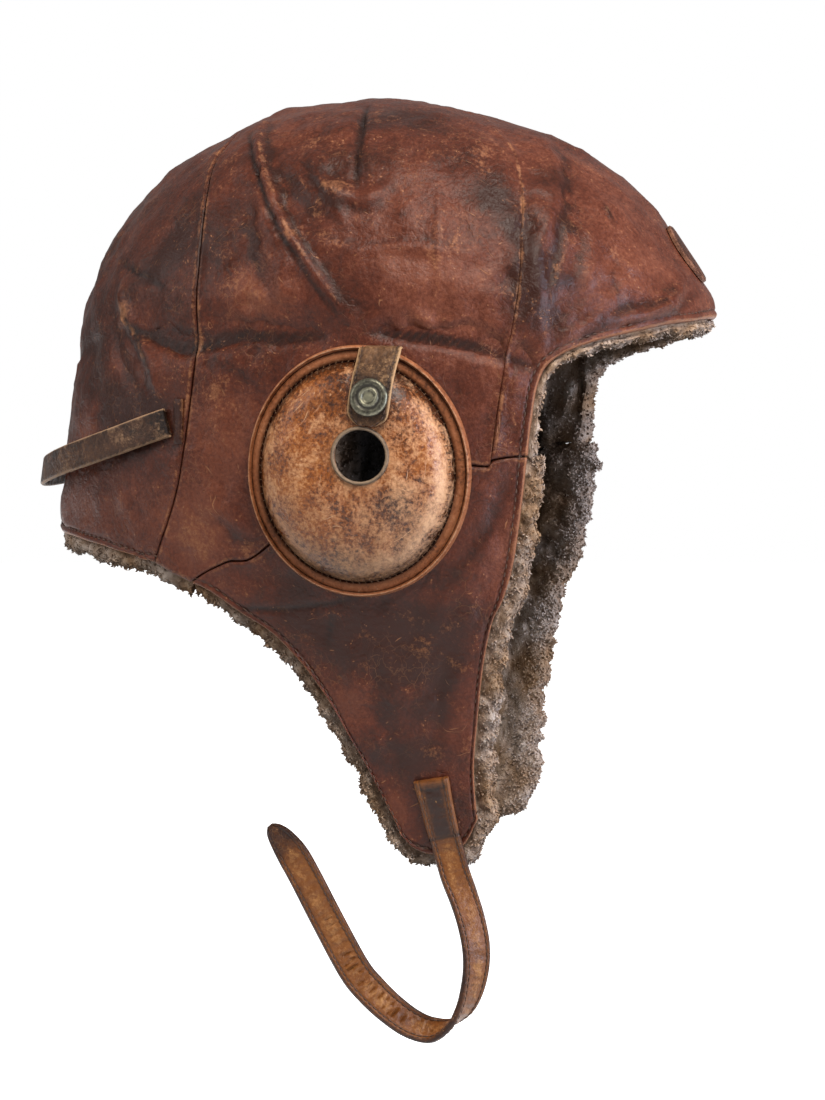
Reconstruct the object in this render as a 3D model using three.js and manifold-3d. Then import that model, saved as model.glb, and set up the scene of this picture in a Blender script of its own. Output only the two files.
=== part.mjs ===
// A leather flying helmet with a wool pile lining, in millimetres.
// Z points up, the brow faces -Y and the wearer's right ear is on the -X side.
// The origin is where the crown of the head touches the inside of the lining.
import * as THREE from 'three';
import { mergeVertices } from 'three/addons/utils/BufferGeometryUtils.js';
import Module from 'manifold-3d';

const wasm = await Module();
wasm.setup();

// Driving dimensions
const CROWN_TOP = 12; // the outside of the leather, above the origin
const LEATHER = 2; // wall of the shell
const SEAM = 0.3; // between two panels that are sewn edge to edge
const PLAY = 0.35; // between a piece and what it lies on
const LINING = { outside: 3.1, inside: CROWN_TOP }; // depths below the leather's outside
const LOCK = 1.5; // how far the locks of the pile stand out of its hollows
const OVERHANG = { brow: 4.6, flap: 7.6, nape: 7.2 }; // pile beyond the leather's edge
const BAND = { tab: 1.5, back: 1.8, chin: 2.2, buckle: 1.5 }; // thickness of the narrow leather

// The shell in level sections. Each is a squared oval with its own reach to the front, to the
// back and to either side, at a drop below the crown's top. Power 2 is a true ellipse.
const SECTIONS = [
  { drop: 0, front: 0, back: 0, wide: 0, power: 2.0 },
  { drop: 4, front: 30.5, back: 30, wide: 30.5, power: 2.0 },
  { drop: 14, front: 67.5, back: 56, wide: 57, power: 2.02 },
  { drop: 32, front: 96.5, back: 82, wide: 76, power: 2.06 },
  { drop: 56, front: 116.2, back: 100, wide: 88, power: 2.12 },
  { drop: 78, front: 128.5, back: 110, wide: 92.5, power: 2.18 },
  { drop: 94, front: 131.6, back: 113.4, wide: 92.6, power: 2.22 },
  { drop: 112, front: 130, back: 115.4, wide: 92.5, power: 2.26 },
  { drop: 140, front: 126, back: 117.8, wide: 92, power: 2.3 },
  { drop: 165, front: 122, back: 121.3, wide: 88.5, power: 2.3 },
  { drop: 200, front: 117, back: 121, wide: 80, power: 2.3 },
  { drop: 250, front: 110, back: 118, wide: 68, power: 2.3 },
  { drop: 300, front: 104, back: 115, wide: 58, power: 2.3 },
];

// Seams and edges on the right half. Columns: degrees round from the front, drop.
const FRONT_SEAM = [[0, 5.7], [34.7, 12.5], [38.7, 21], [43.1, 35.1], [47.1, 52], [50.9, 80.4],
  [53.7, 108.6], [55.3, 134.1]];
const REAR_SEAM = [[180, 8.3], [137.2, 17], [130, 28], [122.6, 48.4], [119.6, 72], [119.1, 97],
  [121, 122], [123.1, 142.4], [126.2, 156.3], [130.9, 172.6]];
const BROW_EDGE = [[0, 83.3], [12, 84.3], [21.9, 86.1], [29.5, 89], [36.6, 92.3], [42.2, 96.5],
  [44.9, 100.4], [46.3, 105.3], [47.1, 111.3], [47.7, 120.1], [48.4, 132.7]];
const NAPE_EDGE = [[180, 163.5], [165, 164.2], [152.3, 165.6], [141.7, 168.4], [133.6, 171.6]];
const NAPE_CORNER = [[130.9, 172.6], [127, 176.2], [123, 179.3]];
const FLAP_SEAM_REAR = [[123, 179.3], [114.1, 171.5], [104.5, 166], [81.6, 151.5], [58.3, 135.8],
  [55.3, 134.1]];
const FLAP_SEAM_FRONT = [[55.3, 134.1], [48.4, 132.7]];
const FLAP_REAR = [[123, 179.3], [113.2, 189.3], [104.3, 198.6], [98.2, 208.8], [91.2, 223.2],
  [85.4, 236.9], [77.7, 254.7], [70.5, 272.5]];
const FLAP_FRONT = [[48.4, 132.7], [48.8, 146.9], [49.3, 170.3], [50.4, 183.6], [51.9, 191.1],
  [52.6, 202], [52.8, 213], [52.6, 228], [52.3, 243], [51.3, 255], [49.8, 266]];
const FLAP_TIP = [[70.5, 272.5], [66, 277.5], [61, 279.6], [56, 279], [52.2, 275.2], [49.8, 266]];

// The ear piece: ovals seen from the side. Columns: centre ahead of the crown, centre's drop,
// half length to the front, half height.
const RING_OVAL = { front: 12.6, drop: 138.1, across: 39.9, down: 44.8 };
const COVER_OVAL = { front: 12.1, drop: 138.3, across: 34.6, down: 39.1 };
const RING_BORE = { front: 12.1, drop: 138.3, across: 35, down: 39.5 };
const SHELL_OPENING = { front: 12.1, drop: 138.3, across: 29.5, down: 34 };
const LINING_OPENING = { front: 12.1, drop: 137, across: 23, down: 27 };
const HEARING_HOLE = { front: 15.9, drop: 131.9, across: 9.4, down: 9.4 };
const RIM_INSIDE = { front: 15.9, drop: 131.9, across: 9, down: 9 };
const RIM_OUTSIDE = { front: 15.9, drop: 131.9, across: 10.9, down: 10.9 };
const COVER_HEIGHT = 12;

// Sections of the ear piece. Share runs from the inner oval to the outer one, lift is the height
// above the shell.
const RING_SECTION = [
  { share: 0, lift: PLAY }, { share: 0, lift: 1.5 }, { share: 0.6, lift: 1.7 },
  { share: 0.74, lift: 3 }, { share: 0.93, lift: 3 }, { share: 1, lift: PLAY },
];
const COVER_SECTION = [
  { share: 0, lift: COVER_HEIGHT }, { share: 0.35, lift: 11.7 }, { share: 0.62, lift: 10.6 },
  { share: 0.82, lift: 8.4 }, { share: 0.94, lift: 5.2 }, { share: 1, lift: PLAY },
  { share: 0.93, lift: PLAY }, { share: 0.85, lift: 5 }, { share: 0.6, lift: 8.6 },
  { share: 0, lift: 10.1 },
];
const RIM_SECTION = [
  { share: 0, lift: COVER_HEIGHT + 0.3 }, { share: 0.1, lift: COVER_HEIGHT + 1.1 },
  { share: 0.7, lift: COVER_HEIGHT + 1.1 }, { share: 1, lift: COVER_HEIGHT + 0.3 },
];

// Middle line of the tab, from under the ring's edge over the ring and down the cover.
const TAB_LINE = [
  { front: 21.5, drop: 92.1, lift: 1.4, half: 7.5 }, { front: 21.5, drop: 92.5, lift: 3.7, half: 7.5 },
  { front: 21.3, drop: 94.6, lift: 4.7, half: 7.5 }, { front: 20.9, drop: 98.6, lift: 6.9, half: 7.5 },
  { front: 20.4, drop: 103.4, lift: 10.0, half: 7.5 }, { front: 19.8, drop: 108.6, lift: 12, half: 7.5 },
  { front: 19.2, drop: 114.4, lift: 13.1, half: 7.5 }, { front: 18.8, drop: 117.6, lift: 13.3, half: 7.5 },
  { front: 18.5, drop: 120.4, lift: 13.3, half: 3.6 },
];
const SNAP = { front: 19.5, drop: 111.6, lift: 13.65 };
const SNAP_PROFILE = [[0, 0], [6.75, 0], [6.75, 1], [6, 1.7], [4.6, 1.7], [3.9, 1.25], [3.2, 1.9],
  [2, 1.9], [1.4, 1.2], [0, 1.2]]; // radius, height

// Middle line of the strap round the back. Columns: degrees from the front, drop, height above
// the shell.
const BACK_STRAP_LINE = [[125.2, 121.2, 1.25], [130, 124, 2.4], [138, 129, 4.4], [148, 134.5, 6.4],
  [160, 140, 8.2], [170, 143.3, 9.4], [180, 144.5, 9.8]];
const BACK_STRAP_HALF = 5.4;
const STRAP_PATCH = { from: 121.7, to: 123.7, top: 112.6, bottom: 128.8, thick: 1 };

// Middle line of the chin strap. Its sewn end lies on the flap. The free end hangs past the flap,
// turns over at the bottom of its bend and comes up again to a point.
const CHIN_SEWN = [
  { front: 34.3, drop: 250.5, half: 6.6 }, { front: 35.8, drop: 259.3, half: 6.2 },
  { front: 37.6, drop: 268.8, half: 5.9 }, { front: 39.8, drop: 277.9, half: 5.7 },
];
const CHIN_FREE = [
  { front: 42.1, drop: 285.9, beside: 61.2, half: 5.6, twist: 12 },
  { front: 45.2, drop: 294.1, beside: 61.2, half: 5.6, twist: 28 },
  { front: 48.1, drop: 302.6, beside: 61.8, half: 5.7, twist: 35 },
  { front: 50.1, drop: 311.9, beside: 62.5, half: 5.8, twist: 40 },
  { front: 50.2, drop: 320.6, beside: 63, half: 5.8, twist: 47 },
  { front: 48.4, drop: 329.6, beside: 63, half: 5.8, twist: 57 },
  { front: 45.4, drop: 336.4, beside: 63, half: 5.8, twist: 70 },
  { front: 40.6, drop: 341.4, beside: 63, half: 5.8, twist: 93 },
  { front: 33.9, drop: 343.6, beside: 63, half: 5.8, twist: 127 },
  { front: 26.7, drop: 341.4, beside: 64, half: 5.8, twist: 144 },
  { front: 19, drop: 336, beside: 65, half: 5.9, twist: 151 },
  { front: 11.7, drop: 329, beside: 66, half: 6, twist: 158 },
  { front: 5.4, drop: 321.5, beside: 66, half: 6, twist: 165 },
  { front: -4, drop: 304.8, beside: 66, half: 6, twist: 172 },
  { front: -13.3, drop: 287.3, beside: 66, half: 6, twist: 176 },
  { front: -17.8, drop: 279.7, beside: 66, half: 5.9, twist: 178 },
  { front: -22.3, drop: 273.6, beside: 66, half: 4.4, twist: 180 },
  { front: -25.6, drop: 270, beside: 66, half: 1.8, twist: 180 },
];

const DISC = { drop: 59.7, radius: 12.6, thick: 1.6 };

// The left flap's buckle: a bar held in a folded strap. Columns: drop, height above the flap.
const BUCKLE = { front: 36, drop: 259.5, lift: 3.15, half: 8, length: 12, corner: 2.4, wire: 1 };
const BUCKLE_STRAP_HALF = 5.5;
const FOLD_RADIUS = 2.05;
const FOLD_ENDS = { under: 236, over: 238.5 };
const PRONG = { wire: 0.85, slit: 2.7 };

// Colours and finish of the materials
const FINISH = {
  shell: { color: '#5a2a1a', roughness: 0.42, metalness: 0 },
  pile: { color: '#86705c', roughness: 0.95, metalness: 0 },
  ring: { color: '#6e4325', roughness: 0.5, metalness: 0 },
  cover: { color: '#9a6440', roughness: 0.6, metalness: 0 },
  tab: { color: '#6a5335', roughness: 0.6, metalness: 0 },
  strap: { color: '#8a4e26', roughness: 0.5, metalness: 0 },
  old_brass: { color: '#4c5142', roughness: 0.45, metalness: 0.8 },
};

// A smooth curve through one column of SECTIONS that never overshoots its rows. It runs on the
// root of the drop, which keeps the crown round.
const LEVELS = SECTIONS.map((row) => Math.sqrt(row.drop));
function column(name) {
  const value = SECTIONS.map((row) => row[name]);
  const rise = LEVELS.slice(1).map((level, i) => (value[i + 1] - value[i]) / (level - LEVELS[i]));
  const slope = value.map((_, i) => {
    if (i === 0) return rise[0];
    if (i === rise.length) return rise[i - 1];
    if (rise[i - 1] * rise[i] <= 0) return 0;
    const before = LEVELS[i] - LEVELS[i - 1];
    const after = LEVELS[i + 1] - LEVELS[i];
    const sum = (2 * after + before) / rise[i - 1] + (after + 2 * before) / rise[i];
    return 3 * (before + after) / sum;
  });
  return (drop) => {
    const level = Math.sqrt(Math.max(drop, 0));
    const next = LEVELS.findIndex((knot) => knot > level);
    const i = next < 0 ? LEVELS.length - 2 : next - 1;
    const span = LEVELS[i + 1] - LEVELS[i];
    const s = Math.min((level - LEVELS[i]) / span, 1.2);
    return (1 + 2 * s) * (1 - s) ** 2 * value[i] + s * (1 - s) ** 2 * span * slope[i]
      + s * s * (3 - 2 * s) * value[i + 1] + s * s * (s - 1) * span * slope[i + 1];
  };
}
const frontAt = column('front');
const backAt = column('back');
const wideAt = column('wide');
const powerAt = column('power');

// A spot is a place on the shell laid out flat: its angle is the angle round from the front, its
// length the root of its drop. The crown is at the middle.
function spot(degrees, drop) {
  const angle = THREE.MathUtils.degToRad(degrees);
  return new THREE.Vector2(Math.cos(angle), Math.sin(angle)).multiplyScalar(Math.sqrt(drop));
}

function onShell(place) {
  const drop = place.lengthSq();
  if (drop === 0) return new THREE.Vector3(0, 0, CROWN_TOP);
  const ahead = place.x / Math.sqrt(drop);
  const aside = place.y / Math.sqrt(drop);
  const long = ahead >= 0 ? frontAt(drop) : backAt(drop);
  const wide = wideAt(drop);
  const power = powerAt(drop);
  const reach = (Math.abs(ahead / long) ** power + Math.abs(aside / wide) ** power) ** (-1 / power);
  return new THREE.Vector3(-reach * aside, -reach * ahead, CROWN_TOP - drop);
}

function outward(place) {
  const step = 0.02;
  const along = (x, y) => onShell(new THREE.Vector2(place.x + x, place.y + y));
  const ahead = along(step, 0).sub(along(-step, 0));
  const aside = along(0, step).sub(along(0, -step));
  return aside.cross(ahead).normalize();
}

// A point some depth below the outside of the shell, along the shell's own normal.
function below(place, depth) {
  return onShell(place).addScaledVector(outward(place), -depth);
}

// A point straight out from the side of the shell. Side is 1 for the right and -1 for the left.
function beside(side, { front, drop, lift }) {
  const long = front >= 0 ? frontAt(drop) : backAt(drop);
  const power = powerAt(drop);
  const wide = wideAt(drop) * (1 - (Math.abs(front) / long) ** power) ** (1 / power);
  return new THREE.Vector3(-side * (wide + lift), -front, CROWN_TOP - drop);
}

function spotBeside(side, front, drop) {
  const point = beside(side, { front, drop, lift: 0 });
  const degrees = THREE.MathUtils.radToDeg(Math.atan2(-point.x, -point.y));
  return spot(degrees, drop);
}

// Evenly spaced spots along a smooth line through the rows of a table.
function trace(rows, steps) {
  const line = new THREE.SplineCurve(rows.map(([degrees, drop]) => spot(degrees, drop)));
  return line.getSpacedPoints(steps);
}

const mirrored = (spots) => spots.map((place) => new THREE.Vector2(place.x, -place.y));

// The same, from the left end of a line over the middle to its right end.
function traceAcross(rows, steps) {
  const left = rows.slice(1).reverse().map(([degrees, drop]) => [-degrees, drop]);
  return trace([...left, ...rows], steps);
}

// A grid of spots between two long lines and the two short lines that join their ends.
function fill(low, high, start, end) {
  const long = low.length - 1;
  const short = start.length - 1;
  return low.map((_, i) => start.map((__, j) => {
    const u = i / long;
    const v = j / short;
    return new THREE.Vector2()
      .addScaledVector(low[i], 1 - v).addScaledVector(high[i], v)
      .addScaledVector(start[j], 1 - u).addScaledVector(end[j], u)
      .addScaledVector(low[0], -(1 - u) * (1 - v)).addScaledVector(high[0], -(1 - u) * v)
      .addScaledVector(low[long], -u * (1 - v)).addScaledVector(high[long], -u * v);
  }));
}

// One closed body from loose corners and triangles, with its faces turned outwards.
function bodyOf(corners, triangles) {
  const loose = new THREE.BufferGeometry().setFromPoints(corners);
  loose.setIndex(triangles.flat());
  const geometry = mergeVertices(loose, 1e-4);
  const index = geometry.getIndex().array;
  const place = geometry.getAttribute('position');
  const kept = [];
  let volume = 0;
  const point = [new THREE.Vector3(), new THREE.Vector3(), new THREE.Vector3()];
  for (let k = 0; k < index.length; k += 3) {
    const [a, b, c] = index.slice(k, k + 3);
    if (a === b || b === c || c === a) continue;
    kept.push(a, b, c);
    [a, b, c].forEach((corner, n) => point[n].fromBufferAttribute(place, corner));
    volume += point[0].dot(point[1].cross(point[2]));
  }
  geometry.setIndex(volume < 0 ? kept.reverse() : kept);
  return geometry;
}

// A wall between two skins over one grid. Sides names the borders that are closed: 0 is the first
// of the short steps, 1 the last of the long ones, 2 and 3 their opposites. Between gives the
// points of a border's section that lie between the two skins.
function wall(outer, inner, sides = [0, 1, 2, 3], between = () => []) {
  const long = outer.length - 1;
  const short = outer[0].length - 1;
  const corners = [...outer.flat(), ...inner.flat()];
  const triangles = [];
  const quad = (a, b, c, d) => triangles.push([a, b, c], [a, c, d]);
  const at = (i, j) => i * (short + 1) + j;
  const under = outer.flat().length;
  for (let i = 0; i < long; i += 1) {
    for (let j = 0; j < short; j += 1) {
      quad(at(i, j), at(i + 1, j), at(i + 1, j + 1), at(i, j + 1));
      quad(under + at(i, j + 1), under + at(i + 1, j + 1), under + at(i + 1, j), under + at(i, j));
    }
  }
  const up = (count) => Array.from({ length: count + 1 }, (_, k) => k);
  const down = (count) => up(count).reverse();
  const borders = [
    up(long).map((i) => [i, 0]), up(short).map((j) => [long, j]),
    down(long).map((i) => [i, short]), down(short).map((j) => [0, j]),
  ];
  const rowOf = (side, [i, j]) => {
    const middle = between(side, i, j).map((point) => corners.push(point) - 1);
    return [at(i, j), ...middle, under + at(i, j)];
  };
  let last = null;
  let first = null;
  const join = (a, b) => a.slice(1).forEach((_, k) => quad(b[k], a[k], a[k + 1], b[k + 1]));
  sides.forEach((side) => borders[side].forEach((cell) => {
    const row = rowOf(side, cell);
    if (last) join(last, row);
    last = row;
    first = first ?? row;
  }));
  join(last, first);
  return bodyOf(corners, triangles);
}

// A leather panel over a grid of spots, kept back by half a seam all round.
function panel(grid) {
  const keepBack = (skin) => {
    const long = skin.length - 1;
    const short = skin[0].length - 1;
    const neighbour = (k, count) => (k === 0 ? 1 : k === count ? count - 1 : k);
    return skin.map((line, i) => line.map((point, j) => {
      const inside = skin[neighbour(i, long)][neighbour(j, short)];
      const moved = point.clone();
      if (i === 0 || i === long) {
        moved.addScaledVector(skin[neighbour(i, long)][j].clone().sub(point).normalize(), SEAM / 2);
      }
      if (j === 0 || j === short) {
        moved.addScaledVector(line[neighbour(j, short)].clone().sub(point).normalize(), SEAM / 2);
      }
      return inside === point ? point : moved;
    }));
  };
  const skinAt = (depth) => keepBack(grid.map((line) => line.map((place) => below(place, depth))));
  return wall(skinAt(0), skinAt(LEATHER));
}

// The section of the pile where it rolls out past an edge. Share is of the overhang.
const ROLL = [
  { share: 0.12, depth: 2.5 }, { share: 0.5, depth: 1.2 }, { share: 0.95, depth: 3.4 },
  { share: 0.85, depth: 9 },
];

function rollOut(spots, inside, overhang) {
  const centre = onShell(inside);
  return spots.map((place, k) => {
    const point = onShell(place);
    const ahead = onShell(spots[Math.min(k + 1, spots.length - 1)]);
    const tangent = ahead.sub(onShell(spots[Math.max(k - 1, 0)]));
    const normal = outward(place);
    const away = tangent.cross(normal).normalize();
    if (away.dot(point.clone().sub(centre)) < 0) away.negate();
    const reach = overhang + LOCK * (k % 2 ? 0.5 : -0.5);
    return ROLL.map(({ share, depth }) => point.clone()
      .addScaledVector(away, share * reach).addScaledVector(normal, -depth));
  });
}

// A border of the pile that meets more pile: its section is the straight line between the skins.
function buttEnd(spots) {
  return spots.map((place) => ROLL.map((_, k) => {
    const share = (k + 1) / (ROLL.length + 1);
    return below(place, THREE.MathUtils.lerp(LINING.outside, LINING.inside, share));
  }));
}

const LINING_STEPS = 6; // of the pile along the rear part of the flap's seam
const lockDepth = (i, j) => LINING.inside - ((i + j) % 2 ? LOCK : 0);

// The pile over the crown: spokes run from the apex to a border in groups, with a doubled spoke
// where an open edge meets a seam.
function crownLining() {
  const apex = new THREE.Vector2();
  const rings = 7;
  const seamSpots = (rows, steps) => trace(rows, steps).map((place) => place.multiplyScalar(1 - 0.0015));
  const nape = traceAcross([...NAPE_EDGE, ...NAPE_CORNER], 16);
  const brow = traceAcross(BROW_EDGE, 16);
  const rightSeam = [...seamSpots([...FLAP_SEAM_FRONT].reverse(), 1),
    ...seamSpots([...FLAP_SEAM_REAR].reverse(), LINING_STEPS)];
  const leftSeam = mirrored(rightSeam).reverse();
  const groups = [
    { spots: brow, rolls: rollOut(brow, apex, OVERHANG.brow) },
    { spots: rightSeam, rolls: buttEnd(rightSeam) },
    { spots: nape.reverse(), rolls: rollOut(nape, apex, OVERHANG.nape) },
    { spots: leftSeam, rolls: buttEnd(leftSeam) },
  ];
  const rim = groups.flatMap((group) => group.spots);
  const rolls = groups.flatMap((group) => group.rolls);
  rim.push(rim[0]);
  rolls.push(rolls[0]);
  const grid = rim.map((place) => Array.from({ length: rings + 1 },
    (_, j) => place.clone().multiplyScalar((j / rings) ** 0.8)));
  const outer = grid.map((line) => line.map((place) => below(place, LINING.outside)));
  const depthAt = (i, j) => (j < 2 ? LINING.inside : lockDepth(i % (rim.length - 1), j));
  const inner = grid.map((line, i) => line.map((place, j) => below(place, depthAt(i, j))));
  return wall(outer, inner, [2], (_, i) => rolls[i]);
}

function flapGrid(side, down, across) {
  const turn = (spots) => (side > 0 ? spots : mirrored(spots));
  const top = [...trace(FLAP_SEAM_REAR, across - 1), trace(FLAP_SEAM_FRONT, 1)[1]];
  return fill(turn(trace(FLAP_REAR, down)), turn(trace(FLAP_FRONT, down)), turn(top),
    turn(trace(FLAP_TIP, across)));
}

function flapLining(side) {
  const grid = flapGrid(side, 12, LINING_STEPS + 1).map((line, i) => (i > 0 ? line
    : line.map((place) => place.clone().multiplyScalar(1.0015))));
  const outer = grid.map((line) => line.map((place) => below(place, LINING.outside)));
  const inner = grid.map((line, i) => line.map((place, j) => below(place, lockDepth(i, j))));
  const middle = grid[4][3];
  const last = grid.length - 1;
  const rear = grid.map((line) => line[0]);
  const front = grid.map((line) => line.at(-1));
  const rolls = [
    rollOut(rear, middle, OVERHANG.flap), rollOut(grid[last], middle, OVERHANG.flap),
    rollOut(front, middle, OVERHANG.flap), buttEnd(grid[0]),
  ];
  return wall(outer, inner, [0, 1, 2, 3], (border, i, j) => rolls[border][border % 2 ? j : i]);
}

// Cuts with a straight oval bore that runs through the helmet from side to side.
function solidOf(geometry) {
  const merged = geometry.clone();
  merged.deleteAttribute('normal');
  merged.deleteAttribute('uv');
  const welded = mergeVertices(merged, 1e-4);
  return new wasm.Manifold(new wasm.Mesh({
    numProp: 3,
    vertProperties: new Float32Array(welded.getAttribute('position').array),
    triVerts: new Uint32Array(welded.getIndex().array),
  }));
}

function geometryOf(solid) {
  const { vertProperties, triVerts } = solid.getMesh();
  const geometry = new THREE.BufferGeometry();
  geometry.setAttribute('position', new THREE.BufferAttribute(vertProperties, 3));
  geometry.setIndex(new THREE.BufferAttribute(triVerts, 1));
  return geometry;
}

function ovalBore({ front, drop, across, down }) {
  const shape = new THREE.Shape().absellipse(front, drop, across, down, 0, 2 * Math.PI);
  const geometry = new THREE.ExtrudeGeometry(shape, { depth: 300, bevelEnabled: false, curveSegments: 13 });
  const turn = new THREE.Matrix4().makeBasis(new THREE.Vector3(0, -1, 0), new THREE.Vector3(0, 0, -1),
    new THREE.Vector3(1, 0, 0)).setPosition(-150, 0, CROWN_TOP);
  return solidOf(geometry.applyMatrix4(turn));
}

const withOpening = (geometry, oval) => geometryOf(solidOf(geometry).subtract(ovalBore(oval)));

// A closed ring round the ear between two ovals, from a closed section.
function hoop(side, inside, outside, section, steps) {
  const pointAt = (turn, { share, lift }) => {
    const mix = (name) => THREE.MathUtils.lerp(inside[name], outside[name], share);
    const angle = 2 * Math.PI * turn;
    return beside(side, {
      front: mix('front') + mix('across') * Math.cos(angle),
      drop: mix('drop') + mix('down') * Math.sin(angle),
      lift,
    });
  };
  return lathed(Array.from({ length: steps },
    (_, k) => section.map((corner) => pointAt(k / steps, corner))));
}

// A body from a closed ring of closed sections.
function lathed(sections) {
  const count = sections[0].length;
  const triangles = [];
  sections.forEach((_, i) => {
    const here = i * count;
    const next = ((i + 1) % sections.length) * count;
    for (let j = 0; j < count; j += 1) {
      const k = (j + 1) % count;
      triangles.push([here + j, next + j, next + k], [here + j, next + k, here + k]);
    }
  });
  return bodyOf(sections.flat(), triangles);
}

// A flat band. Each station has its middle, the direction across it and its half width.
function band(stations, thickness) {
  const along = (k) => stations[Math.min(k + 1, stations.length - 1)].middle.clone()
    .sub(stations[Math.max(k - 1, 0)].middle).normalize();
  const skins = [0.5, -0.5].map((share) => stations.map(({ middle, across, half }, k) => {
    const normal = along(k).cross(across).normalize();
    return [-half, half].map((reach) => middle.clone()
      .addScaledVector(across, reach).addScaledVector(normal, share * thickness));
  }));
  return wall(skins[0], skins[1]);
}

// Stations that lie on the shell, or a height above it, with the band flat to it.
function layOn(rows) {
  const middles = rows.map(({ place, lift }) => below(place, -lift));
  return rows.map(({ place, half }, k) => {
    const ahead = middles[Math.min(k + 1, rows.length - 1)].clone()
      .sub(middles[Math.max(k - 1, 0)]);
    const across = ahead.cross(outward(place)).normalize();
    return { middle: middles[k], across, half };
  });
}

function named(name, geometry, finish) {
  const flat = geometry.index ? geometry.toNonIndexed() : geometry;
  flat.computeVertexNormals();
  const mesh = new THREE.Mesh(flat, new THREE.MeshStandardMaterial(FINISH[finish]));
  mesh.name = name;
  return mesh;
}

function shell() {
  const acrossHead = 26;
  const rear = traceAcross(REAR_SEAM, acrossHead);
  const front = traceAcross(FRONT_SEAM, acrossHead);
  const brow = traceAcross(BROW_EDGE, acrossHead);
  const nape = traceAcross(NAPE_EDGE, acrossHead);
  const underEar = [...trace(NAPE_CORNER, 1), ...trace(FLAP_SEAM_REAR, 9).slice(1)];
  const atBrow = trace(FLAP_SEAM_FRONT, 6);
  const atNape = [rear.at(-1), nape.at(-1)];
  const shortNape = Array.from({ length: 9 },
    (_, k) => atNape[0].clone().lerp(atNape[1], k / 8));
  const frontGrid = fill(front, brow, mirrored(atBrow), atBrow);
  const middleGrid = fill(rear, front, mirrored(underEar), underEar);
  const backGrid = fill(rear, nape, mirrored(shortNape), shortNape);
  const flap = (side) => withOpening(panel(flapGrid(side, 11, 10)), SHELL_OPENING);
  const group = new THREE.Group();
  group.add(
    named('front_panel', panel(frontGrid), 'shell'),
    named('middle_panel', withOpening(panel(middleGrid), SHELL_OPENING), 'shell'),
    named('back_panel', panel(backGrid), 'shell'),
    named('right_ear_flap', flap(1), 'shell'),
    named('left_ear_flap', flap(-1), 'shell'),
  );
  return group;
}

function lining() {
  const flap = (side) => withOpening(flapLining(side), LINING_OPENING);
  const group = new THREE.Group();
  group.add(
    named('crown_lining', withOpening(crownLining(), LINING_OPENING), 'pile'),
    named('right_flap_lining', flap(1), 'pile'),
    named('left_flap_lining', flap(-1), 'pile'),
  );
  return group;
}

function tabStations(side) {
  const middles = TAB_LINE.map((row) => beside(side, row));
  return TAB_LINE.map(({ half }, k) => {
    const ahead = middles[Math.min(k + 1, middles.length - 1)].clone()
      .sub(middles[Math.max(k - 1, 0)]).normalize();
    const across = new THREE.Vector3(0, -1, 0);
    across.addScaledVector(ahead, -across.dot(ahead)).normalize();
    return { middle: middles[k], across, half };
  });
}

function snapCap(side) {
  const profile = SNAP_PROFILE.map(([radius, height]) => new THREE.Vector2(radius, height));
  const cap = new THREE.LatheGeometry(profile, 16);
  const index = Array.from({ length: cap.index.count / 3 },
    (_, k) => Array.from(cap.index.array.slice(3 * k, 3 * k + 3)));
  const place = cap.getAttribute('position');
  const corners = Array.from({ length: place.count },
    (_, k) => new THREE.Vector3().fromBufferAttribute(place, k));
  const seat = TAB_LINE.findIndex(({ drop }) => drop > SNAP.drop);
  const slope = beside(side, TAB_LINE[seat]).sub(beside(side, TAB_LINE[seat - 1])).normalize();
  const axis = new THREE.Vector3(-side, 0, 0);
  axis.addScaledVector(slope, -axis.dot(slope)).normalize();
  const stand = new THREE.Quaternion().setFromUnitVectors(new THREE.Vector3(0, 1, 0), axis);
  const seatPoint = beside(side, SNAP);
  return bodyOf(corners.map((corner) => corner.applyQuaternion(stand).add(seatPoint)), index);
}

function earPiece(side, name) {
  const group = new THREE.Group();
  group.add(
    named(`${name}_ear_ring`, hoop(side, RING_BORE, RING_OVAL, RING_SECTION, 28), 'ring'),
    named(`${name}_ear_cover`, hoop(side, HEARING_HOLE, COVER_OVAL, COVER_SECTION, 24), 'cover'),
    named(`${name}_hole_rim`, hoop(side, RIM_INSIDE, RIM_OUTSIDE, RIM_SECTION, 20), 'tab'),
    named(`${name}_ear_tab`, band(tabStations(side), BAND.tab), 'tab'),
    named(`${name}_snap_cap`, snapCap(side), 'old_brass'),
  );
  return group;
}

function strapPatch(side) {
  const { from, to, top, bottom, thick } = STRAP_PATCH;
  const steps = [0, 1, 2];
  const skinAt = (lift) => steps.map((i) => steps.slice(0, 2).map((j) => below(
    spot(side * THREE.MathUtils.lerp(from, to, j), THREE.MathUtils.lerp(top, bottom, i / 2)), -lift,
  )));
  return wall(skinAt(PLAY + thick), skinAt(PLAY));
}

function backStrap() {
  const right = BACK_STRAP_LINE.map(([degrees, drop, lift]) => new THREE.Vector3(degrees, drop, lift));
  const left = right.slice(0, -1).map((row) => new THREE.Vector3(360 - row.x, row.y, row.z));
  const line = new THREE.CatmullRomCurve3([...right, ...left.reverse()]);
  const rows = line.getSpacedPoints(24).map((row) => ({
    place: spot(row.x, row.y), lift: row.z, half: BACK_STRAP_HALF,
  }));
  return band(layOn(rows), BAND.back);
}

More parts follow.
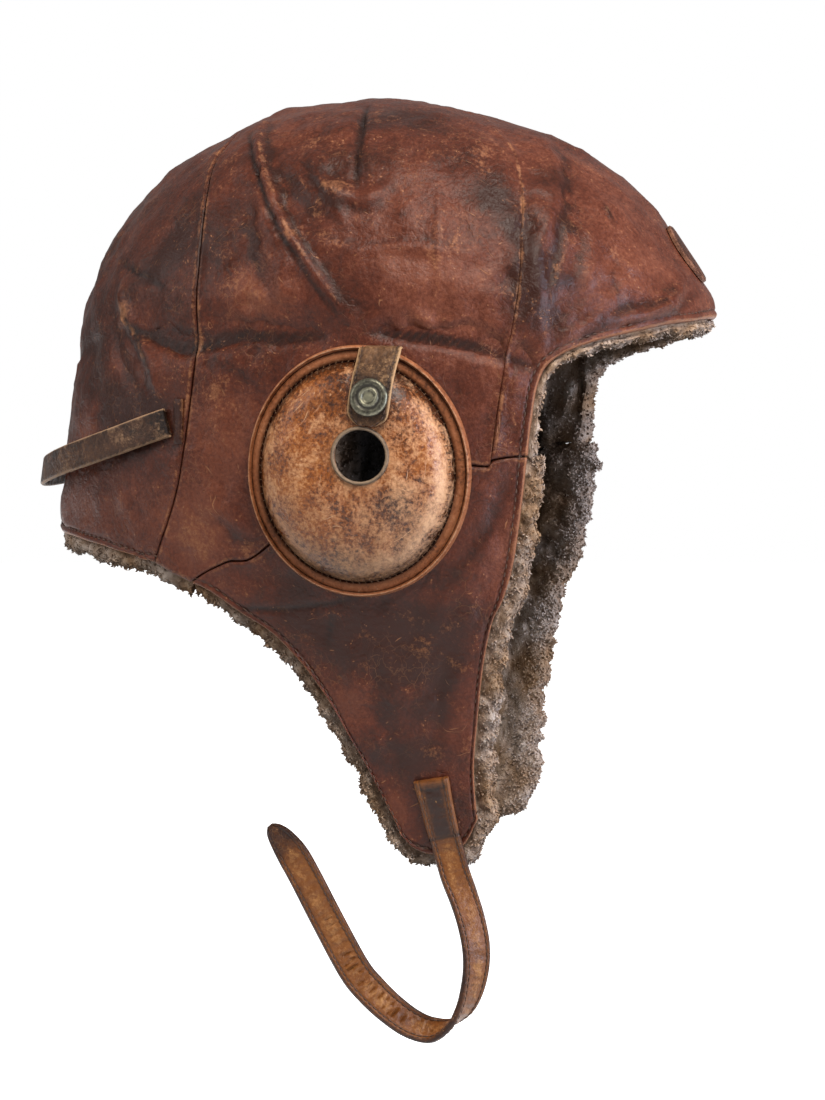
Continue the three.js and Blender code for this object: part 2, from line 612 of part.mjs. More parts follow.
function chinStrap() {
  const lift = PLAY + BAND.chin / 2;
  const sewn = layOn(CHIN_SEWN.map(({ front, drop, half }) => ({
    place: spotBeside(1, front, drop), lift, half,
  })));
  const middles = CHIN_FREE.map((row) => new THREE.Vector3(-row.beside, -row.front, CROWN_TOP - row.drop));
  const free = CHIN_FREE.map(({ half, twist }, k) => {
    const ahead = middles[Math.min(k + 1, middles.length - 1)].clone()
      .sub(k ? middles[k - 1] : sewn.at(-1).middle);
    ahead.x = 0;
    const flat = new THREE.Vector3(-1, 0, 0).cross(ahead.normalize()).negate();
    const angle = THREE.MathUtils.degToRad(twist);
    const across = flat.multiplyScalar(Math.cos(angle))
      .add(new THREE.Vector3(-Math.sin(angle), 0, 0));
    return { middle: middles[k], across, half };
  });
  return band([...sewn, ...free], BAND.chin);
}

function foreheadDisc() {
  const slope = (frontAt(DISC.drop + 1) - frontAt(DISC.drop - 1)) / 2;
  const dropShare = 1 / Math.hypot(1, slope);
  const reach = frontAt(DISC.drop);
  const sides = 24;
  const rings = 3;
  const skinAt = (lift) => Array.from({ length: sides + 1 }, (_, i) => {
    const angle = 2 * Math.PI * (i % sides) / sides;
    return Array.from({ length: rings + 1 }, (__, j) => {
      const radius = DISC.radius * j / rings;
      const degrees = THREE.MathUtils.radToDeg(radius * Math.sin(angle) / reach);
      return below(spot(degrees, DISC.drop + radius * Math.cos(angle) * dropShare), -lift);
    });
  });
  return wall(skinAt(PLAY + DISC.thick), skinAt(PLAY), [2]);
}

// Places on the left flap, from the distance ahead of the crown, the drop and a height.
const onLeftFlap = (front, drop, lift) => below(spotBeside(-1, front, drop), -lift);

function buckleStrap() {
  const { front, drop, lift } = BUCKLE;
  const under = PLAY + BAND.buckle / 2;
  const over = under + BAND.buckle + PLAY;
  const bottom = lift - FOLD_RADIUS;
  const fold = Array.from({ length: 9 }, (_, k) => {
    const angle = Math.PI * k / 8;
    return [drop + FOLD_RADIUS * Math.sin(angle), lift - FOLD_RADIUS * Math.cos(angle)];
  });
  const line = [[FOLD_ENDS.under, under], [246, under], [drop - 4, bottom], ...fold,
    [drop - 5, lift + FOLD_RADIUS * 0.8], [drop - 11, over + 0.4], [FOLD_ENDS.over, over]];
  const across = onLeftFlap(front + 1, drop, lift).sub(onLeftFlap(front - 1, drop, lift)).normalize();
  const strap = band(line.map(([at, height]) => ({
    middle: onLeftFlap(front, at, height), across, half: BUCKLE_STRAP_HALF,
  })), BAND.buckle);
  const slit = new THREE.BoxGeometry(12, PRONG.slit, 5.5);
  const down = onLeftFlap(front, drop + 1, lift).sub(onLeftFlap(front, drop - 1, lift)).normalize();
  const turn = new THREE.Matrix4().makeBasis(across.clone().cross(down), across, down);
  turn.setPosition(onLeftFlap(front, drop + 0.5, lift));
  return geometryOf(solidOf(strap).subtract(solidOf(slit.applyMatrix4(turn))));
}

// A tube round a closed or open line of points, with a given normal to start its section from.
function wire(points, radius, closed, normal) {
  const sides = 6;
  const count = points.length;
  const sections = points.map((point, k) => {
    const ahead = closed ? points[(k + 1) % count] : points[Math.min(k + 1, count - 1)];
    const behind = closed ? points[(k + count - 1) % count] : points[Math.max(k - 1, 0)];
    const along = ahead.clone().sub(behind).normalize();
    const across = along.clone().cross(normal).normalize();
    return Array.from({ length: sides }, (_, n) => {
      const angle = 2 * Math.PI * n / sides;
      return point.clone().addScaledVector(normal, radius * Math.cos(angle))
        .addScaledVector(across, radius * Math.sin(angle));
    });
  });
  if (closed) return lathed(sections);
  const middle = (section) => section.reduce((sum, point) => sum.add(point), new THREE.Vector3())
    .divideScalar(sides);
  const ends = [sections[0], sections.at(-1)].map((section) => section.map(() => middle(section)));
  return lathed([ends[0], ...sections, ends[1]]);
}

function chinBuckle() {
  const { front, drop, lift, half, length, corner, wire: radius } = BUCKLE;
  const outline = [];
  [[1, 0], [1, 1], [-1, 1], [-1, 0]].forEach(([aside, far], k) => {
    for (let n = 0; n <= 2; n += 1) {
      const angle = Math.PI / 2 * (k + n / 2);
      outline.push([
        front + aside * (half - corner) + corner * Math.sin(angle),
        drop + (far ? length - corner : corner) - corner * Math.cos(angle),
      ]);
    }
  });
  const at = ([ahead, down], height = lift) => onLeftFlap(ahead, down, height);
  const normal = outward(spotBeside(-1, front, drop + length / 2));
  const frame = solidOf(wire(outline.map((point) => at(point)), radius, true, normal));
  const prong = solidOf(wire([at([front, drop]), at([front, drop + length / 2]),
    at([front, drop + length + 1], lift + 0.9)], PRONG.wire, false, normal));
  return geometryOf(frame.add(prong));
}

const helmet = new THREE.Group();
helmet.add(
  shell(),
  lining(),
  earPiece(1, 'right'),
  earPiece(-1, 'left'),
  named('right_strap_patch', strapPatch(1), 'shell'),
  named('left_strap_patch', strapPatch(-1), 'shell'),
  named('back_strap', backStrap(), 'strap'),
  named('chin_strap', chinStrap(), 'strap'),
  named('forehead_disc', foreheadDisc(), 'cover'),
  named('buckle_strap', buckleStrap(), 'strap'),
  named('chin_buckle', chinBuckle(), 'old_brass'),
);

export default helmet;
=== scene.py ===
import math

import bpy
import mathutils
import numpy as np
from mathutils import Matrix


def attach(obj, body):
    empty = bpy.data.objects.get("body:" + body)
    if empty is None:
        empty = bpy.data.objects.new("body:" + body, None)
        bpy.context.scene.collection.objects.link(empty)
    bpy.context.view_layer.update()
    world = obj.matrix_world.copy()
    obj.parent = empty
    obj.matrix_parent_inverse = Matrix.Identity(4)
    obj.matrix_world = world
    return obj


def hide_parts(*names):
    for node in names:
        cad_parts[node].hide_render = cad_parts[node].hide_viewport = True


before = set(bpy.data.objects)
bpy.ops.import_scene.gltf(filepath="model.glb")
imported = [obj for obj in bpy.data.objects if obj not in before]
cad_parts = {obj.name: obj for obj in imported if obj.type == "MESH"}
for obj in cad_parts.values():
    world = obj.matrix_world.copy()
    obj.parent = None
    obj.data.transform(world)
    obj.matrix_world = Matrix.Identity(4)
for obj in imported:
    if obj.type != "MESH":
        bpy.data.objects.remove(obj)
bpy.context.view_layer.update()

# The shell: five panels of thin goatskin, dyed red brown and waxed, sewn edge to edge over the
# head. Every open edge is turned under and stitched 3 mm in. Years of wear have creased it, rubbed
# the ridges and edges down to the tan and left almost black stains where it was held and oiled.
# The hollows beside the creases, and a thin line along each fine crease, are painted darker as shade.
CROWN_TOP = 12.0  # mm, outside of the leather above the head's crown
LEATHER = 2.0
HALF_SEAM = 0.15
SIDES = ((1, "right"), (-1, "left"))

# The form in level sections: drop below the crown's top, reach to the front, to the back and to
# either side in mm, and how square the oval is.
SECTIONS = np.array([
    (0, 0, 0, 0, 2.0), (4, 30.5, 30, 30.5, 2.0), (14, 67.5, 56, 57, 2.02), (32, 96.5, 82, 76, 2.06),
    (56, 116.2, 100, 88, 2.12), (78, 128.5, 110, 92.5, 2.18), (94, 131.6, 113.4, 92.6, 2.22),
    (112, 130, 115.4, 92.5, 2.26), (140, 126, 117.8, 92, 2.3), (165, 122, 121.3, 88.5, 2.3),
    (200, 117, 121, 80, 2.3), (250, 110, 118, 68, 2.3), (300, 104, 115, 58, 2.3),
])

# Seams and edges of the right half: degrees round from the front, drop in mm.
FRONT_SEAM = [(0, 5.7), (34.7, 12.5), (38.7, 21), (43.1, 35.1), (47.1, 52), (50.9, 80.4),
              (53.7, 108.6), (55.3, 134.1)]
REAR_SEAM = [(180, 8.3), (137.2, 17), (130, 28), (122.6, 48.4), (119.6, 72), (119.1, 97), (121, 122),
             (123.1, 142.4), (126.2, 156.3), (130.9, 172.6)]
BROW_EDGE = [(0, 83.3), (12, 84.3), (21.9, 86.1), (29.5, 89), (36.6, 92.3), (42.2, 96.5), (44.9, 100.4),
             (46.3, 105.3), (47.1, 111.3), (47.7, 120.1), (48.4, 132.7)]
NAPE_EDGE = [(180, 163.5), (165, 164.2), (152.3, 165.6), (141.7, 168.4), (133.6, 171.6)]
NAPE_CORNER = [(130.9, 172.6), (127, 176.2), (123, 179.3)]
FLAP_SEAM_REAR = [(123, 179.3), (114.1, 171.5), (104.5, 166), (81.6, 151.5), (58.3, 135.8),
                  (55.3, 134.1)]
FLAP_SEAM_FRONT = [(55.3, 134.1), (48.4, 132.7)]
FLAP_REAR = [(123, 179.3), (113.2, 189.3), (104.3, 198.6), (98.2, 208.8), (91.2, 223.2), (85.4, 236.9),
             (77.7, 254.7), (70.5, 272.5)]
FLAP_FRONT = [(48.4, 132.7), (48.8, 146.9), (49.3, 170.3), (50.4, 183.6), (51.9, 191.1), (52.6, 202),
              (52.8, 213), (52.6, 228), (52.3, 243), (51.3, 255), (49.8, 266)]
FLAP_TIP = [(70.5, 272.5), (66, 277.5), (61, 279.6), (56, 279), (52.2, 275.2), (49.8, 266)]

# Creases of the right half. Width and height in mm; lean raises one side of the line and lowers
# the other; rub is how far the ridge is worn to the tan. The hollow beside a crease is painted
# darker as shade, and a crease under FINE also gets a thin painted shade line.
FINE = 1.5
OVER_EAR = [(139, 87), (126, 93), (118, 94), (110, 90), (100, 91), (90, 90.5)]
CREASES = [
    # width, height, lean, rub, line
    (1.3, -1.9, 0.3, 0.1, [(83, 5), (83, 24), (83, 38)]),
    (3.8, 1.7, 1.2, 0.6, [(97, 27), (93, 35), (88, 41), (81, 43), (76, 39)]),
    (3.2, 1.9, -1.9, 0.8, [(132, 11), (114, 24), (105, 39), (98, 54), (92, 66), (87, 77), (82, 85)]),
    (1.1, -1.3, 0.0, 0.0, [(131, 15), (115, 27), (107, 40), (100.5, 54), (94.5, 66), (89.5, 77), (84, 86)]),
    (4.0, 1.3, 1.0, 0.45, [(106, 26), (98, 35), (92, 43), (84, 50)]),
    (2.2, 0.7, -0.9, 0.5, [(96, 55), (84, 59), (73, 58), (66, 59), (56, 61)]),
    (1.6, 0.35, 0.3, 0.3, [(63, 39), (65, 60), (66, 82)]),
    (4.2, -3.4, -2.0, 0.0, OVER_EAR), (1.2, -1.6, 0.0, 0.0, OVER_EAR),
    (1.2, -1.4, 0.0, 0.0, [(78, 89), (73, 90), (63, 92), (55, 96)]),
    (3.8, -3.0, -1.8, 0.0, [(80, 89), (73, 90), (63, 92), (52, 98), (47, 103)]),
    (2.4, -0.8, 0.5, 0.3, [(135, 92), (127, 88), (119, 89), (112, 94)]),
    (1.1, -1.2, 0.0, 0.0, [(140, 80), (136, 88), (131.5, 97), (129, 107)]),
    (3.4, 2.6, 1.9, 0.9, [(142, 72), (139, 84), (133, 94), (130, 103), (127.5, 112)]),
    (5.0, -1.4, -1.0, 0.1, [(145, 80), (141, 92), (137, 103), (133, 112)]),
    (1.4, -0.8, 0.5, 0.6, [(147, 62), (140, 66), (133, 69), (127, 74)]),
    (5.5, 1.9, 1.7, 0.1, [(109, 39), (104, 59), (100, 70), (99, 82)]),
    (4.5, 0.7, 0.7, 0.15, [(119, 150), (111, 157), (104, 163)]),
    (3.5, 0.5, 0.6, 0.3, [(118, 95), (106, 104), (101, 109)]),
    (1.1, -0.8, 0.2, 0.45, [(114, 190), (102, 188), (91, 186), (82, 183)]),
    (1.1, -0.7, 0.2, 0.5, [(89, 188), (90, 195), (91, 202)]),
    (7.0, 1.2, 1.5, 0.15, [(56, 140), (61, 155), (66, 166), (73, 180)]),
    (6.0, -0.9, 0.9, 0.1, [(52, 141), (54, 153), (58, 167), (64, 182)]),
    (5.5, 1.9, -2.0, 0.15, [(20, 17), (30, 29), (34, 38), (40, 50), (44, 61), (45.5, 75), (45.5, 90)]),
    (2.5, 0.8, 1.0, 0.6, [(37, 48), (39, 59), (42, 67), (44, 76)]),
    (5.0, 0.7, 0.6, 0.1, [(31, 50), (35, 64), (39, 78)]),
    (4.0, 0.6, 0.5, 0.1, [(27, 60), (30, 71), (30, 82)]),
    (3.4, 2.1, 1.7, 0.25, [(13, 69), (20, 77), (27, 82), (34, 84)]),
    (3.0, -0.9, 0.6, 0.1, [(9, 74), (17, 80), (25, 84)]),
    (3.4, 1.0, 0.9, 0.2, [(43, 94), (38, 87), (33, 80), (29, 74)]),
    (2.6, -1.1, 0.5, 0.1, [(47, 101), (49, 99), (53, 98)]),
    (1.2, 0.5, 0.2, 0.9, [(25, 43), (25.5, 50)]),
    (5.0, 0.8, 0.9, 0.1, [(160, 90), (157, 108), (158, 122)]),
    (6.0, -1.2, 0.8, 0.0, [(178, 96), (166, 97), (152, 92), (143, 87)]),
    (8.0, 1.2, 0.8, 0.1, [(172, 40), (160, 62), (155, 80)]),
    (6.0, 0.9, 0.8, 0.1, [(75, 215), (70, 235), (64, 252)]),
    (5.0, -0.8, 0.6, 0.0, [(60, 205), (62, 222), (60, 240)]),
]

# Stains of the right half: degrees, drop, size in mm, depth of the stain from 0 to 1. A negative
# depth is a place where the red shows fresher.
STAINS = [
    (51, 40, 7, 0.9), (48, 54, 9, 1.2), (47, 68, 9, 1.2), (47, 82, 9, 0.9), (33, 36, 9, 0.5),
    (118, 56, 17, 0.7), (77, 200, 26, 1.0),
    (60, 190, 14, 0.6), (97, 192, 16, 0.7), (138, 122, 16, 0.75), (150, 100, 20, 0.5), (145, 42, 22, 0.4),
    (160, 70, 24, 0.35), (132, 66, 12, 0.7), (128, 118, 7, 1.0), (104, 96, 10, 0.35), (85, 74, 16, 0.25),
    (100, 60, 12, 0.3), (88, 30, 14, 0.45), (64, 215, 15, 0.5), (72, 245, 14, 0.6), (60, 265, 12, 0.7),
    (66, 12, 16, 0.5), (170, 130, 26, 0.4), (121, 160, 12, -0.9), (83, 222, 10, -1.3),
    (149, 127, 9, -0.8), (72, 262, 8, -0.9),
    (66, 70, 22, -0.4), (25, 60, 24, -0.4), (104, 75, 14, -0.8), (112, 120, 14, -0.6), (56, 100, 12, -0.3),
    (50, 175, 12, -0.5), (150, 150, 20, -0.2), (20, 79, 10, -0.3), (100, 208, 8, -0.6),
]

# Where the dye is rubbed thin: degrees, drop, size in mm, how far.
RUBBED = [
    (87, 39, 6, 0.26), (96, 52, 9, 0.2), (112, 72, 10, 0.2), (125, 30, 9, 0.16), (66, 55, 9, 0.2),
    (50, 24, 12, 0.16), (114, 108, 10, 0.18), (107, 165, 10, 0.2), (139, 81, 5, 0.4), (48, 165, 10, 0.2),
    (66, 200, 15, 0.16), (60, 240, 10, 0.18), (75, 12, 10, 0.14), (30, 60, 10, 0.12), (100, 20, 10, 0.16),
]


def column(values):
    """A smooth curve through one column of SECTIONS that never overshoots its rows."""
    level = np.sqrt(SECTIONS[:, 0])
    gap = np.diff(level)
    rise = np.diff(values) / gap
    slope = np.concatenate([rise[:1], np.zeros(len(rise) - 1), rise[-1:]])
    for i in range(1, len(rise)):
        if rise[i - 1] * rise[i] > 0:
            before, after = 2 * gap[i] + gap[i - 1], gap[i] + 2 * gap[i - 1]
            slope[i] = (before + after) / (before / rise[i - 1] + after / rise[i])

    def at(drop):
        root = np.sqrt(np.maximum(drop, 0))
        i = np.clip(np.searchsorted(level, root, side="right") - 1, 0, len(gap) - 1)
        s = np.minimum((root - level[i]) / gap[i], 1.2)
        return ((1 + 2 * s) * (1 - s) ** 2 * values[i] + s * (1 - s) ** 2 * gap[i] * slope[i]
                + s * s * (3 - 2 * s) * values[i + 1] + s * s * (s - 1) * gap[i] * slope[i + 1])
    return at


front_at, back_at, wide_at, power_at = (column(SECTIONS[:, k]) for k in (1, 2, 3, 4))


def spots(rows):
    """Places on the shell laid out flat: the angle is the angle round from the front, the length
    is the root of the drop."""
    rows = np.array(rows, float)
    angle = np.radians(rows[..., 0])
    return np.stack([np.cos(angle), np.sin(angle)], -1) * np.sqrt(rows[..., 1])[..., None]


def on_shell(places):
    """Points of the leather's outside, in mm."""
    places = np.asarray(places) + 1e-7
    level = np.linalg.norm(places, axis=-1)
    drop = level ** 2
    ahead, aside = places[..., 0] / level, places[..., 1] / level
    long = np.where(ahead >= 0, front_at(drop), back_at(drop))
    power = power_at(drop)
    reach = (np.abs(ahead / long) ** power + np.abs(aside / wide_at(drop)) ** power) ** (-1 / power)
    return np.stack([-reach * aside, -reach * ahead, CROWN_TOP - drop], -1)


def unit(vectors):
    return vectors / np.linalg.norm(vectors, axis=-1, keepdims=True)


def outward(places, step=0.02):
    """The direction out of the leather."""
    ahead = on_shell(places + (step, 0)) - on_shell(places - (step, 0))
    aside = on_shell(places + (0, step)) - on_shell(places - (0, step))
    normal = np.cross(aside, ahead)
    return unit(normal)


def below(places, depth):
    """Points a depth under the leather's outside."""
    return on_shell(places) - outward(places) * np.asarray(depth)[..., None]


def walked(points):
    """Length walked along rows of points."""
    steps = np.linalg.norm(np.diff(points, axis=0), axis=-1)
    return np.concatenate([np.zeros_like(steps[:1]), np.cumsum(steps, axis=0)])


def along_with(values, length, at):
    """The values of a line at the given lengths."""
    return np.stack([np.interp(at, length, values[:, k]) for k in range(values.shape[1])], -1)


def along(points, shares):
    """Points at the given shares of a line's length."""
    length = walked(points)
    return along_with(points, length, shares * length[-1])


def smooth(knots, steps=24):
    """A smooth line through the knots."""
    knots = np.array(knots, float)
    ends = np.vstack([knots[:1], knots, knots[-1:]])
    t = np.linspace(0, 1, steps, endpoint=False)[:, None]
    parts = [b + (c - a) * t / 2 + (2 * a - 5 * b + 4 * c - d) * t ** 2 / 2
             + (3 * b - a - 3 * c + d) * t ** 3 / 2
             for a, b, c, d in zip(ends, ends[1:], ends[2:], ends[3:])]
    return np.vstack([*parts, knots[-1:]])


def both_sides(rows):
    """The rows of a line from its left end over the middle to its right end."""
    return [(-degrees, drop) for degrees, drop in reversed(rows[1:])] + list(rows)


def mirror(places):
    """The same places on the other side."""
    return places * (1, -1)


def shares_of(length, step, near=(0, 0.35, 0.8, 1.3, 1.8, 2.3, 2.7, 3.1, 3.6, 4.4, 5.6)):
    """Shares of a length, close together near its ends, where the edges are turned and sewn."""
    close = np.array(near) / length
    middle = np.linspace(close[-1], 1 - close[-1], round((1 - 2 * close[-1]) * length / step) + 1)
    return np.concatenate([close[:-1], middle, 1 - close[-2::-1]])


def fill(low, high, start, end, u, v):
    """A grid of places between two long lines and the two short lines that join their ends."""
    low, high = along(low, u)[:, None], along(high, u)[:, None]
    start, end = along(start, v)[None], along(end, v)[None]
    u, v = u[:, None, None], v[None, :, None]
    return ((1 - v) * low + v * high + (1 - u) * start + u * end
            - (1 - u) * (1 - v) * low[0] - (1 - u) * v * high[0]
            - u * (1 - v) * low[-1] - u * v * high[-1])


def ripple(points, size, seed):
    """Gentle unevenness of about -1 to 1, with features of the given size in mm."""
    chance = np.random.default_rng(seed)
    total = np.zeros(points.shape[:-1])
    for _ in range(10):
        way = chance.normal(size=3)
        way *= 2 * math.pi / size * chance.uniform(0.6, 1.6) / np.linalg.norm(way)
        total += np.sin(points @ way + chance.uniform(0, 2 * math.pi))
    return total / 3.2


def hill(value, middle, width):
    """1 where a value is at the middle, falling away smoothly over a width."""
    return np.exp(-((value - middle) / width) ** 2)


def ease(low, high, value):
    """0 up to low, 1 from high on, and a smooth step between them."""
    share = np.clip((value - low) / (high - low), 0, 1)
    return share * share * (3 - 2 * share)


def beside_line(points, normals, line):
    """Distance to a line, which side of it a point is on, and the share of its length reached."""
    best = np.full(points.shape[:-1], 1e9)
    side, share = np.zeros_like(best), np.zeros_like(best)
    length = walked(line)
    for k, (a, b) in enumerate(zip(line, line[1:])):
        step = b - a
        t = np.clip((points - a) @ step / max(step @ step, 1e-9), 0, 1)
        gap = points - a - t[..., None] * step
        far = np.linalg.norm(gap, axis=-1)
        near = far < best
        best = np.where(near, far, best)
        turn = np.sign(np.sum(np.cross(step, gap) * normals, -1))
        side = np.where(near, turn, side)
        share = np.where(near, (length[k] + t * (length[k + 1] - length[k])) / length[-1], share)
    return best, side, share


# Ovals at the side of the head, in mm: ahead of the crown, drop, half length, half height.
EAR_RING = (12.6, 138.1, 39.9, 44.8)
EAR_OPENING = (12.1, 138.3, 29.5, 34)
HEARING_GAP = (12.1, 137, 23, 27)
AT_SIDE, AT_EAR = 50, 45  # mm from the middle, beyond which an oval counts, outside and inside
DISC_PLACE = (0, 59.7)
STRAP_START = (125.2, 121.2)
SEWN_STRAP = [(62, 250.5), (61.5, 262), (58, 279)]


def from_ear(points, oval):
    """How far out points lie in an oval at the side of the head, 1 on the oval itself."""
    front, drop, long, tall = oval
    return np.hypot((-points[..., 1] - front) / long, (CROWN_TOP - points[..., 2] - drop) / tall)


def calm(points, near=1.02, away=1.22):
    """0 where something is sewn down on the leather and keeps it flat, 1 away from it."""
    flat = np.where(np.abs(points[..., 0]) > AT_SIDE, ease(near, away, from_ear(points, EAR_RING)), 1)
    disc = on_shell(spots([DISC_PLACE]))[0]
    flat = flat * ease(13, 20, np.linalg.norm(points - disc, axis=-1))
    mirrored = np.stack([-np.abs(points[..., 0]), points[..., 1], points[..., 2]], -1)
    start = on_shell(spots([STRAP_START]))[0]
    flat = flat * ease(9, 15, np.linalg.norm(mirrored - start, axis=-1))
    sewn = along(on_shell(spots(SEWN_STRAP)), np.linspace(0, 1, 12))
    near = np.min([np.linalg.norm(mirrored - p, axis=-1) for p in sewn], axis=0)
    return flat * ease(9, 15, near)


def patches(points, sign, rows, size, seed, strength):
    """The depth of each round patch in rows, its border made uneven by a ripple."""
    uneven = 1 + strength * ripple(points, size, seed)
    for degrees, drop, radius, depth in rows:
        centre = on_shell(spots([(sign * degrees, drop)]))[0]
        far = np.linalg.norm(points - centre, axis=-1) / (radius * uneven)
        yield depth * np.exp(-far * far)


def worn_surface(places):
    """Height of the leather's relief in mm, how rubbed and stained it is with painted shade in
    the crease hollows, and a painted shade line along each fine crease.
    """
    points, normals = on_shell(places), outward(places)
    height = 0.6 * ripple(points, 46, 3) + 0.34 * ripple(points, 17, 4)
    height = height + 0.2 * np.abs(ripple(points, 9, 5))
    rub, stain, crease_shade_line, wobble = 0 * height, 0 * height, 0 * height, 1 + 0.35 * ripple(points, 12, 6)
    for sign, strength in ((1, 1.0), (-1, 0.8)):
        here = (np.sign(points[..., 0]) != sign) | (np.abs(points[..., 0]) < 12)
        for width, tall, lean, worn, rows in CREASES:
            line = on_shell(along(smooth(spots([(sign * a, d) for a, d in rows])), np.linspace(0, 1, 22)))
            box = 3.6 * width
            near = here & np.all((points > line.min(0) - box) & (points < line.max(0) + box), -1)
            if not near.any():
                continue
            far, side, share = beside_line(points[near], normals[near], line)
            taper = np.sqrt(np.clip(np.sin(math.pi * np.clip(share, 0.02, 0.98)), 0, 1)) * strength
            s = side * far / (width * wobble[near])
            sharp = np.exp(-np.abs(s) ** 1.4)
            height[near] += 1.35 * taper * sharp * (tall + 1.2 * lean * sign * s)
            # The dye is worn along a ridge; the hollow beside it is painted darker as shade.
            patchy = np.clip(0.5 + 0.4 * ripple(points[near], 6, 8), 0, 1) * (1 - 0.4 * share)
            rub[near] = np.maximum(rub[near], taper * worn * patchy * hill(far, 0, 1.0))
            low = hill(far, 0, 0.4 * width + 0.4) if tall < 0 else hill(
                s * np.sign(-lean * sign), 0.75, 0.4)
            stain[near] += taper * low * min(1.2, 0.35 + 0.28 * abs(tall))
            # A fine crease also gets a thin line of painted shade, drawn near black like the seams.
            if width < FINE:
                crease_shade_line[near] = np.maximum(crease_shade_line[near], taper * hill(far, 0, 0.8))
        for depth in patches(points, sign, STAINS, 22, 7, 0.3):
            stain = stain + depth
        for depth in patches(points, sign, RUBBED, 14, 9, 0.4):
            rub = np.maximum(rub, depth)
    # A fold may sink right beside the ear ring, but nothing rises under it.
    flat = np.where(height > 0, calm(points), calm(points, 0.97, 1.03))
    return height * flat, rub, np.clip(stain, -1, 1.5), 0.8 * crease_shade_line * calm(points, 0.97, 1.03)


def new_object(name, data):
    made = bpy.data.objects.new(name, data)
    bpy.context.scene.collection.objects.link(made)
    return made


def piece(name, points, faces, material, marks=None, flat_above=55):
    """A finished mesh object from points in mm, its faces turned outwards, with named marks on its
    points for the materials."""
    points = np.asarray(points, float)
    faces = [tuple(int(k) for k in face) for face in faces]
    volume = 0.0
    for face in faces:
        a = points[face[0]]
        for b, c in zip(face[1:], face[2:]):
            volume += a @ np.cross(points[b], points[c])
    if volume < 0:
        faces = [face[::-1] for face in faces]
    mesh = bpy.data.meshes.new(name)
    mesh.from_pydata((points / 1000).tolist(), [], faces)
    for mark, values in (marks or {}).items():
        values = np.asarray(values, np.float32)
        kind = "FLOAT_VECTOR" if values.ndim == 2 else "FLOAT"
        mesh.attributes.new(mark, kind, "POINT").data.foreach_set(
            "vector" if values.ndim == 2 else "value", values.ravel())
    mesh.materials.append(material)
    mesh.polygons.foreach_set("use_smooth", [True] * len(mesh.polygons))
    mesh.set_sharp_from_angle(angle=math.radians(flat_above))
    return new_object(name, mesh)


def settle(made, slot, *nodes):
    """The piece rides on the helmet's one body and stands for its CAD nodes."""
    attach(made, "root")
    if nodes:
        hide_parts(*nodes)
    return made


def two_skins(outer, inner, kept=None):
    """Points and faces of a wall between two grids of points, closed along every border."""
    rows, columns = outer.shape[:2]
    count = rows * columns
    index = np.arange(count).reshape(rows, columns)
    quads = np.stack([index[:-1, :-1], index[1:, :-1], index[1:, 1:], index[:-1, 1:]], -1)
    quads = quads.reshape(-1, 4) if kept is None else quads[kept]
    edges = np.concatenate([quads[:, [k, (k + 1) % 4]] for k in range(4)])
    key = np.sort(edges, 1)
    _, place, times = np.unique(key, axis=0, return_index=True, return_counts=True)
    border = edges[place[times == 1]]
    rim = np.stack([border[:, 1], border[:, 0], border[:, 0] + count, border[:, 1] + count], 1)
    faces = np.concatenate([quads, quads[:, ::-1] + count, rim])
    used, faces = np.unique(faces, return_inverse=True)
    points = np.concatenate([outer.reshape(-1, 3), inner.reshape(-1, 3)])
    return points[used], faces.reshape(-1, 4), used % count


def wall(name, outer, inner, marks, material, slot, kept=None, flat_above=55):
    """A piece of leather between two grids of points, with marks over the grid."""
    points, faces, source = two_skins(outer, inner, kept)
    marks = {mark: values.ravel()[source] for mark, values in marks.items()}
    settle(piece(name, points, faces, material, marks, flat_above), slot, name)


def colour(code):
    """An sRGB hex value as linear red, green, blue and alpha."""
    parts = [int(code[k:k + 2], 16) / 255 for k in (1, 3, 5)]
    return [*(p / 12.92 if p <= 0.04045 else ((p + 0.055) / 1.055) ** 2.4 for p in parts), 1.0]


class Wire:
    """An output inside a node tree. Reckoning with wires adds the math nodes that it takes."""

    def __init__(self, tree, socket):
        self.tree, self.socket = tree, socket

    def sibling(self, name):
        """Another output of the same node."""
        return Wire(self.tree, self.socket.node.outputs[name])

    def maths(self, operation, *others, clamp=False):
        return add(self.tree, "ShaderNodeMath", dict(enumerate((self, *others))), operation=operation,
                   use_clamp=clamp)

    def scaled(self, share):
        """The wire as a vector, times a number."""
        return add(self.tree, "ShaderNodeVectorMath", {0: self, "Scale": share}, operation="SCALE")

    def moved(self, other, operation="ADD"):
        """The wire as a vector, plus or minus another one."""
        return add(self.tree, "ShaderNodeVectorMath", {0: self, 1: other}, operation=operation)

    def __add__(self, other):
        return self.maths("ADD", other)

    def __sub__(self, other):
        return self.maths("SUBTRACT", other)

    def __rsub__(self, other):
        return add(self.tree, "ShaderNodeMath", {0: other, 1: self}, operation="SUBTRACT")

    def __mul__(self, other):
        return self.maths("MULTIPLY", other)

    def __truediv__(self, other):
        return self.maths("DIVIDE", other)

    def __rtruediv__(self, other):
        return add(self.tree, "ShaderNodeMath", {0: other, 1: self}, operation="DIVIDE")

    def __abs__(self):
        return self.maths("ABSOLUTE")


def add(tree, kind, inputs=(), out=0, stops=None, **settings):
    """Adds a node with its settings and links, and returns one of its outputs."""
    node = tree.nodes.new(kind)
    for name, value in settings.items():
        setattr(node, name, value)
    for key, value in dict(inputs).items():
        if isinstance(value, Wire):
            tree.links.new(value.socket, node.inputs[key])
        else:
            node.inputs[key].default_value = value
    if stops:
        while len(node.color_ramp.elements) < len(stops):
            node.color_ramp.elements.new(0.5)
        for element, (position, code) in zip(node.color_ramp.elements, stops):
            element.position = position
            element.color = colour(code)
    return Wire(tree, node.outputs[out]) if len(node.outputs) else None


